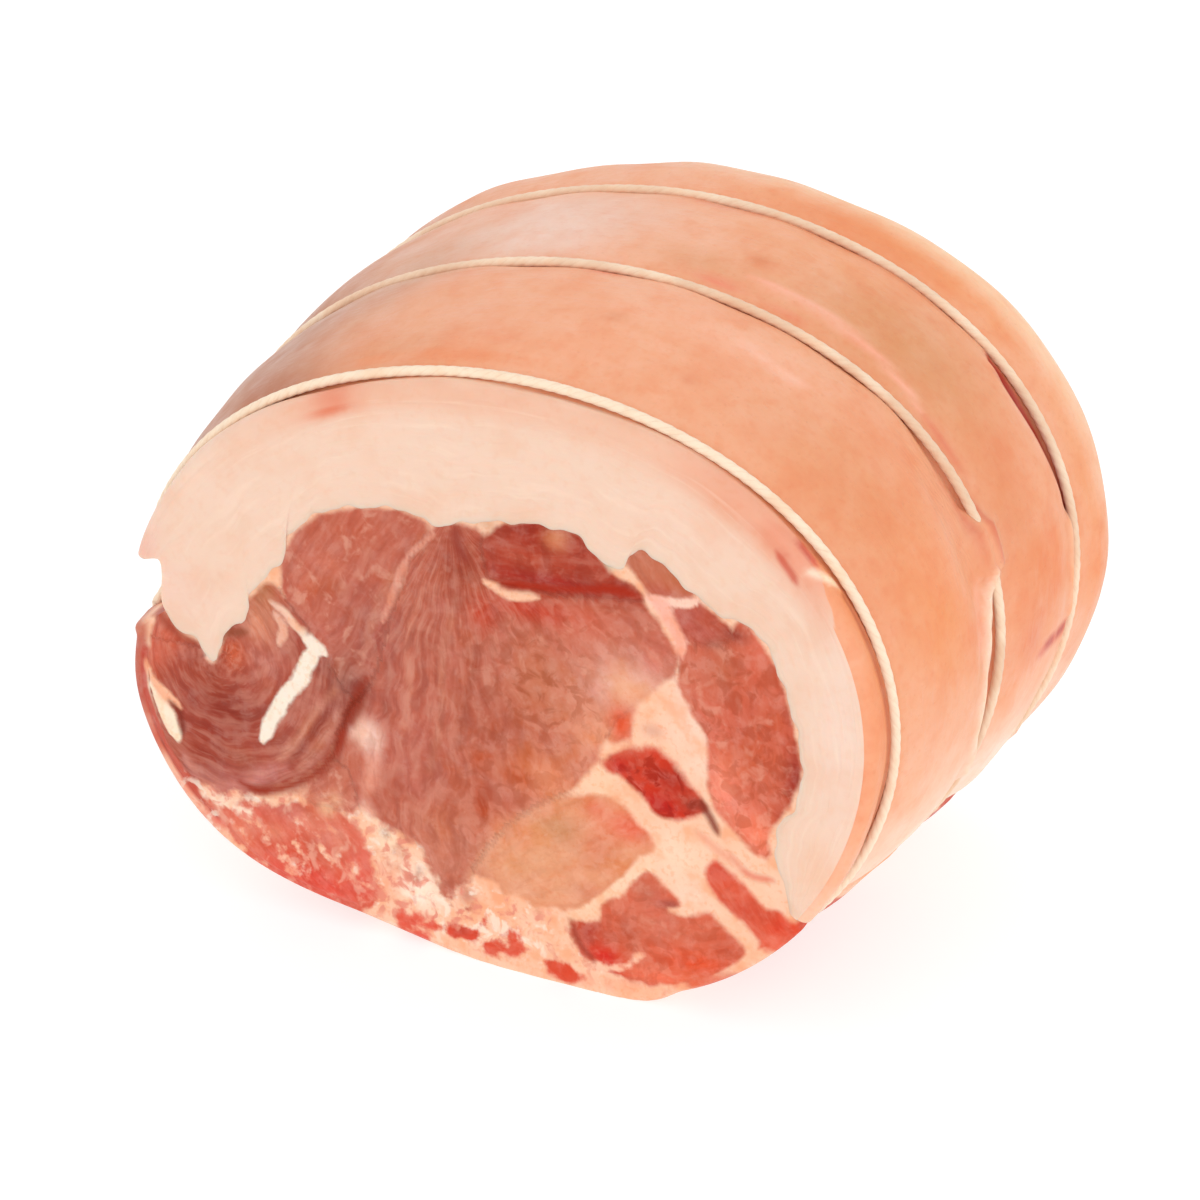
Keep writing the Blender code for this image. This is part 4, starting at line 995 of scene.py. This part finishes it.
# The meat: its own colour with brown and pink tints, light and dark streaks, flecks and a net.
own = stored(tree, "tone")
lighter = mixed(tree, 0.30, own, (0.78, 0.40, 0.29, 1))
darker = mixed(tree, 1.0, own, (0.74, 0.62, 0.60, 1), "MULTIPLY")
browner = mixed(tree, 1.0, own, (0.96, 0.84, 0.62, 1), "MULTIPLY")
pinker = mixed(tree, 1.0, own, (1.05, 1.10, 1.22, 1), "MULTIPLY")
flecked = mixed(tree, 0.6, own, (0.88, 0.52, 0.38, 1))
netted = mixed(tree, 1.0, own, (0.72, 0.54, 0.40, 1), "MULTIPLY")
tint = noise(tree, where, 130.0, 3.0)
colour = mixed(tree, ranged(tree, tint, 0.50, 0.68, 0.0, 0.8), own, browner)
colour = mixed(tree, ranged(tree, tint, 0.48, 0.32, 0.0, 0.8), colour, pinker)
colour = mottled(tree, colour, where, 280.0, 0.8)
fleck = noise(tree, where, 280.0, 3.0, 0.4)
squiggle = noise(tree, where, 300.0, 4.0, 0.8)
for pattern, from_value, to_value, most_share, amount, other in (
        (streak, 0.44, 0.72, 1.0, streakiness, lighter),
        (streak, 0.52, 0.28, 0.8, streakiness, darker),
        (thin_streak, 0.50, 0.75, 0.6, streakiness, lighter),
        (thin_streak, 0.48, 0.28, 0.4, streakiness, darker),
        (fleck, 0.52, 0.68, 0.7, fleckiness, flecked),
        (squiggle, 0.48, 0.62, 0.8, nettedness, netted)):
    share = worked(tree, "MULTIPLY", ranged(tree, pattern, from_value, to_value, 0.0, most_share), amount)
    colour = mixed(tree, share, colour, other)
# The fat between the muscles, blushed and whitened where it is marbled.
fat_part = mottled(tree, stored(tree, "between"), where, 200.0, 1.0)
marbled = stored(tree, "marbled", "Fac")
blots = noise(tree, where, 360.0, 3.0, 0.5)
blush = worked(tree, "MULTIPLY", ranged(tree, blots, 0.53, 0.66, 0.0, 0.8), marbled)
fat_part = mixed(tree, blush, fat_part, (0.76, 0.23, 0.16, 1))
white = worked(tree, "MULTIPLY", ranged(tree, blots, 0.46, 0.34, 0.0, 0.7), marbled)
fat_part = mixed(tree, white, fat_part, (0.93, 0.78, 0.64, 1))
# Meat over fat, with a ragged edge, and the dark lines over both.
ragged = worked(tree, "SUBTRACT", noise(tree, where, 330.0, 4.0), 0.5)
ragged = worked(tree, "MULTIPLY", worked(tree, "MULTIPLY", ragged, 2.0), stored(tree, "ragged", "Fac"))
meat_mask = ranged(tree, worked(tree, "ADD", stored(tree, "edge", "Fac"), ragged), -0.70, 0.70)
colour = mixed(tree, meat_mask, fat_part, colour)
height = worked(tree, "MULTIPLY", worked(tree, "ADD", thin_streak, streak), streakiness)
height = worked(tree, "ADD", worked(tree, "MULTIPLY", height, meat_mask), noise(tree, where, 600.0, 3.0))
plug(tree, shader, {
    "Base Color": mixed(tree, stored(tree, "dark", "Fac"), colour, stored(tree, "dark_tone")),
    "Normal": bumped(tree, height, 0.5, 0.0004),
    "Roughness": ranged(tree, noise(tree, where, 120.0), 0.3, 0.7, 0.30, 0.50),
    "Subsurface Weight": 0.2, "Subsurface Radius": (1.0, 0.30, 0.20), "Subsurface Scale": 0.0012,
    "Specular IOR Level": 0.15})
new_piece("lean_pork", lean_mesh, meat, "root", "lean")


# ---------------------------------------------------------------- front string
# Three-ply cotton twine, about 2 mm thick, pulled tight round the roll 8 mm behind the cut, and
# knotted low on the left side with two short cut ends.

TWINE_RADIUS = 0.00092
TWINE_LIFT = 0.00095       # of its middle over the bed that it lies in
TWINE_PITCH = 0.0070       # length of one full turn of its three plies
PLY_GROOVES = 0.12         # depth of the grooves between the plies, as a share of its radius
FIBRES_ACROSS = 3          # scale of its fibres' coordinates across it
FIBRES_ALONG = 150         # and for each metre along it
TWINE_SIDES = 18           # vertices to a ring of its mesh
TWINE_STEP = 0.00048       # from ring to ring
TUBE_SIDE = (0.05, 0.99, 0.1)          # a direction that no twine runs in
NOTCH = (175.0, 179.0)     # degrees between the rind's left end and the lean's outer side
NOTCH_SINK = 0.0016        # that the twine sinks in there
KNOT_SIZE = (0.0020, 0.0018, 0.0011)   # half sizes: round the roll, along it, out of it
KNOT_LIFT = 0.0028         # of the knot's middle over the skin
KNOT_TIGHT = 0.82          # how thick the twine still is in the knot, as a share
TAIL_TURN = 550            # degrees that a cut end goes round the roll, to a metre of its length
TAIL_DRIFT = 0.7           # metres that it goes back, to a metre
TAIL_OFFSET = 0.0015       # from the knot's middle to its start
TAIL_RISE = 0.0024         # of its start over where it comes to lie
TAIL_FALL = 0.4            # metres that it comes down again, to a metre
TAIL_CLEAR = 0.0004        # between it and the skin
TAIL_CURL = 0.00042        # that it curls to and fro
TAIL_CURL_LENGTH = 0.0026  # of it to one radian of this curl
TAIL_RADIUS = 0.00086
TAIL_FRAY = 0.0035         # the last part of a cut end, where the plies spread
TAIL_SPREAD = 0.25         # how far they spread, as a share
TAIL_TIP = 0.0007          # the very last part, which narrows
TAIL_NARROWS = 0.75        # by this share


def skin_point(degrees, loop_depth):
    """Points of the dressed skin at these angles."""
    return carried(*outer_side(degrees).T, loop_depth + 0 * degrees)


def skin_frame(degrees, loop_depth):
    """Points of the skin, with the directions round the roll, along it and out of it there."""
    point = skin_point(degrees, loop_depth)
    round_it = skin_point(degrees + 0.6, loop_depth) - skin_point(degrees - 0.6, loop_depth)
    round_it /= np.linalg.norm(round_it, axis=1)[:, None]
    along_it = np.array([0, 1, 0]) - round_it[:, 1:2] * round_it
    along_it /= np.linalg.norm(along_it, axis=1)[:, None]
    return point, round_it, along_it, np.cross(round_it, -along_it)


def twisted(path, radius, closed, phase=0.0, thinned=1.0):
    """A tube of three twisted plies along a path, as a mesh with the fibres' coordinates."""
    steps = np.linalg.norm(np.diff(path, axis=0), axis=1)
    length = np.concatenate([[0], np.cumsum(steps)])
    rings = len(path) - closed
    ahead = np.roll(path[:rings], -1, axis=0) - np.roll(path[:rings], 1, axis=0)
    if not closed:
        ahead[0], ahead[-1] = path[1] - path[0], path[-1] - path[-2]
    ahead /= np.linalg.norm(ahead, axis=1)[:, None]
    side = np.cross(ahead, TUBE_SIDE)
    side /= np.linalg.norm(side, axis=1)[:, None]
    up = np.cross(side, ahead)
    turns = max(1, round(length[-1] / TWINE_PITCH)) if closed else length[-1] / TWINE_PITCH
    twist = phase + 2 * math.pi * turns * length[:rings, None] / length[-1]
    round_tube = np.linspace(0, 2 * math.pi, TWINE_SIDES, endpoint=False)[None, :]
    spun = round_tube - twist
    groove = np.abs(np.cos(1.5 * spun))
    size = radius * (1 - PLY_GROOVES + PLY_GROOVES * groove) * np.reshape(thinned, (-1, 1))
    points = path[:rings, None] + size[..., None] * (
        np.cos(round_tube)[..., None] * side[:, None] + np.sin(round_tube)[..., None] * up[:, None])
    tube = bmesh.new()
    bmesh.ops.create_grid(tube, x_segments=TWINE_SIDES, y_segments=rings - 1 + closed, size=1)
    mesh = bpy.data.meshes.new("twine")
    tube.to_mesh(mesh)
    tube.free()
    corners = np.empty(3 * len(mesh.vertices))
    mesh.vertices.foreach_get("co", corners)
    corners = corners.reshape(-1, 3)
    column = np.rint((corners[:, 0] + 1) / 2 * TWINE_SIDES).astype(int) % TWINE_SIDES
    row = np.rint((corners[:, 1] + 1) / 2 * (rings - 1 + closed)).astype(int) % rings
    mesh.vertices.foreach_set("co", points[row, column].ravel())
    fibres = np.stack([FIBRES_ACROSS * np.cos(spun), FIBRES_ACROSS * np.sin(spun),
                       FIBRES_ALONG * length[:rings, None] + 0 * spun], axis=-1)
    store(mesh, "fibres", fibres[row, column])
    store(mesh, "groove", groove[row, column])
    return mesh


def as_one(meshes):
    """Several meshes joined in one, their doubled seam vertices merged."""
    whole = bmesh.new()
    for mesh in meshes:
        whole.from_mesh(mesh)
        bpy.data.meshes.remove(mesh)
    bmesh.ops.remove_doubles(whole, verts=whole.verts, dist=0.000002)
    holes = [edge for edge in whole.edges if edge.is_boundary]
    if holes:
        bmesh.ops.holes_fill(whole, edges=holes, sides=0)
    bmesh.ops.recalc_face_normals(whole, faces=whole.faces)
    joined = bpy.data.meshes.new("joined")
    whole.to_mesh(joined)
    whole.free()
    return joined


def loop_path(loop_depth):
    """The middle of a loop, all round the roll, which sinks in the notch at the rind's left end."""
    degrees = np.concatenate([np.arange(LEAN_ENDS[0] - 360, CAP_END, 0.5), [CAP_END, *NOTCH, LEAN_ENDS[0]]])
    point, round_it, along_it, out = skin_frame(degrees, loop_depth)
    lift = np.where(np.isin(degrees, NOTCH), -NOTCH_SINK, TWINE_LIFT)
    path = point + lift[:, None] * out
    length = np.linalg.norm(np.diff(path, axis=0), axis=1).sum()
    return curve_through(path, np.linspace(0, 1, int(length / TWINE_STEP)))


def knot_path(degrees, loop_depth):
    """A tight overhand knot on the twine."""
    point, round_it, along_it, out = (item[0] for item in skin_frame(np.array([degrees]), loop_depth))
    turn = np.linspace(0, 2 * math.pi, 90)
    wide, deep = np.sin(turn) + 2 * np.sin(2 * turn), np.cos(turn) - 2 * np.cos(2 * turn)
    shape = np.stack([wide / 2.6, deep / 2.6, -np.sin(3 * turn)], axis=-1) * KNOT_SIZE
    return point + KNOT_LIFT * out + shape @ np.stack([round_it, along_it, out])


def tail_path(degrees, loop_depth, length, way):
    """A cut end, which leaves the knot backwards over the skin."""
    run = np.linspace(0, length, int(length / TWINE_STEP))
    here = degrees + way * TAIL_TURN * (run + TAIL_OFFSET)
    paths = []
    for at, back, so_far in zip(here, loop_depth + TAIL_DRIFT * run + TAIL_RADIUS, run):
        point, round_it, along_it, out = (item[0] for item in skin_frame(np.array([at]), back))
        curl = TAIL_CURL * math.sin(so_far / TAIL_CURL_LENGTH + way)
        lift = TAIL_CLEAR + TAIL_RADIUS + max(0.0, TAIL_RISE - TAIL_FALL * so_far)
        paths.append(point + lift * out + curl * (along_it - way * round_it))
    return np.array(paths)


def string_mesh(loop_depth, knot_degrees, tail_lengths, soaked):
    """The loop, its knot and its two cut ends, as one mesh, soaked with juice from 0 to 1."""
    meshes = [twisted(loop_path(loop_depth), TWINE_RADIUS, True)]
    meshes.append(twisted(knot_path(knot_degrees, loop_depth), TWINE_RADIUS * KNOT_TIGHT, True))
    for way, length in zip((1, -1), tail_lengths):
        path = tail_path(knot_degrees, loop_depth, length, way)
        left = np.linspace(length, 0, len(path))
        thinned = 1 + TAIL_SPREAD * soft_step(TAIL_FRAY, 0, left)
        thinned -= TAIL_NARROWS * soft_step(TAIL_TIP, 0, left)
        meshes.append(twisted(path, TAIL_RADIUS, False, 0.7 * way, thinned))
    whole = as_one(meshes)
    store(whole, "soaked", np.full(len(whole.vertices), soaked))
    return whole


# Pale cotton with painted shade in the grooves between its plies and darker fibres, stained by juice where
# it is soaked.
COTTON = (*seen(255, 232, 204), 1)
cotton, tree, shader = new_material("cotton twine")
where = node(tree, "ShaderNodeTexCoord", {}).outputs["Object"]
fibres = noise(tree, stored(tree, "fibres"), 2.4, 4.0)
groove = ranged(tree, stored(tree, "groove", "Fac"), 0.0, 0.45, 1.0, 0.0)
stain = mottled(tree, COTTON, where, 120.0, 0.5)
soaked = ranged(tree, noise(tree, where, 90.0, 3.0), 0.35, 0.60, 0.3, 1.0)
soaked = worked(tree, "MULTIPLY", soaked, stored(tree, "soaked", "Fac"))
stain = mixed(tree, soaked, stain, (0.78, 0.46, 0.28, 1))
# Painted shade: the grooves between the plies are darkened.
colour = mixed(tree, worked(tree, "MULTIPLY", groove, 0.2), stain, (0.72, 0.40, 0.22, 1))
colour = mixed(tree, ranged(tree, fibres, 0.52, 0.75, 0.0, 0.3), colour, (0.80, 0.54, 0.34, 1))
plug(tree, shader, {"Base Color": colour, "Normal": bumped(tree, fibres, 0.6, 0.00025),
                    "Roughness": 0.8, "Sheen Weight": 0.3})
front_mesh = string_mesh(TWINE_DEPTHS[0], 203, (0.011, 0.015), 0.05)
new_piece("front_string", front_mesh, cotton, "root", "string_front")


# ---------------------------------------------------------------- middle string
# The second loop of the same twine, 42 mm behind the cut. It bites deeper at the lower right, where
# a fold of skin stands up beside it.

middle_mesh = string_mesh(TWINE_DEPTHS[1], 198, (0.016, 0.012), 0.6)
new_piece("middle_string", middle_mesh, cotton, "root", "string_middle")


# ---------------------------------------------------------------- back string
# The third loop, 21 mm before the back cut, with a dark gap along its front at the upper right.

back_mesh = string_mesh(TWINE_DEPTHS[2], 208, (0.013, 0.010), 0.5)
new_piece("back_string", back_mesh, cotton, "root", "string_back")


# ---------------------------------------------------------------- camera, light and table
# A white room with a white table that glows a little, and one large soft box from the right.

CAMERA_PLACE = (0.3011, -0.5916, 0.3645)
CAMERA_TURN = math.radians(27.1)       # to the left of the roll's long axis
CAMERA_DOWN = math.radians(25.35)
LENS = 122.4
SENSOR = 36
TABLE_HALF = 3             # half of its side, in metres
TABLE_GREY = 0.4
TABLE_GLOW = 0.68
LAMP_PLACE = (0.95, -1.05, 0.75)
LAMP_TURN = (math.radians(65), 0, math.radians(42))
LAMP_SIDE = 1.1
LAMP_POWER = 3.0
WHITE = (1, 1, 1, 1)

camera_data = bpy.data.cameras.new("camera")
camera_data.lens = LENS
camera_data.sensor_width = SENSOR
camera = bpy.data.objects.new("camera", camera_data)
camera.location = CAMERA_PLACE
camera.rotation_euler = (math.pi / 2 - CAMERA_DOWN, 0, CAMERA_TURN)
bpy.context.scene.collection.objects.link(camera)
bpy.context.scene.camera = camera

table_mesh = bpy.data.meshes.new("table")
sheet = bmesh.new()
bmesh.ops.create_grid(sheet, x_segments=2, y_segments=2, size=TABLE_HALF)
sheet.to_mesh(table_mesh)
sheet.free()
table = bpy.data.objects.new("table", table_mesh)
bpy.context.scene.collection.objects.link(table)
white, tree, shader = new_material("white table")
plug(tree, shader, {"Base Color": (TABLE_GREY, TABLE_GREY, TABLE_GREY, 1), "Roughness": 0.8,
                    "Emission Color": WHITE, "Emission Strength": TABLE_GLOW})
table_mesh.materials.append(white)

lamp_data = bpy.data.lights.new("soft box", "AREA")
lamp_data.shape = "SQUARE"
lamp_data.size = LAMP_SIDE
lamp_data.energy = LAMP_POWER
lamp = bpy.data.objects.new("soft box", lamp_data)
lamp.location = LAMP_PLACE
lamp.rotation_euler = LAMP_TURN
bpy.context.scene.collection.objects.link(lamp)

world = bpy.data.worlds.new("white room")
world.use_nodes = True
plug(world.node_tree, world.node_tree.nodes["Background"], {"Color": WHITE, "Strength": 1.0})
bpy.context.scene.world = world
bpy.context.scene.view_settings.view_transform = "Standard"
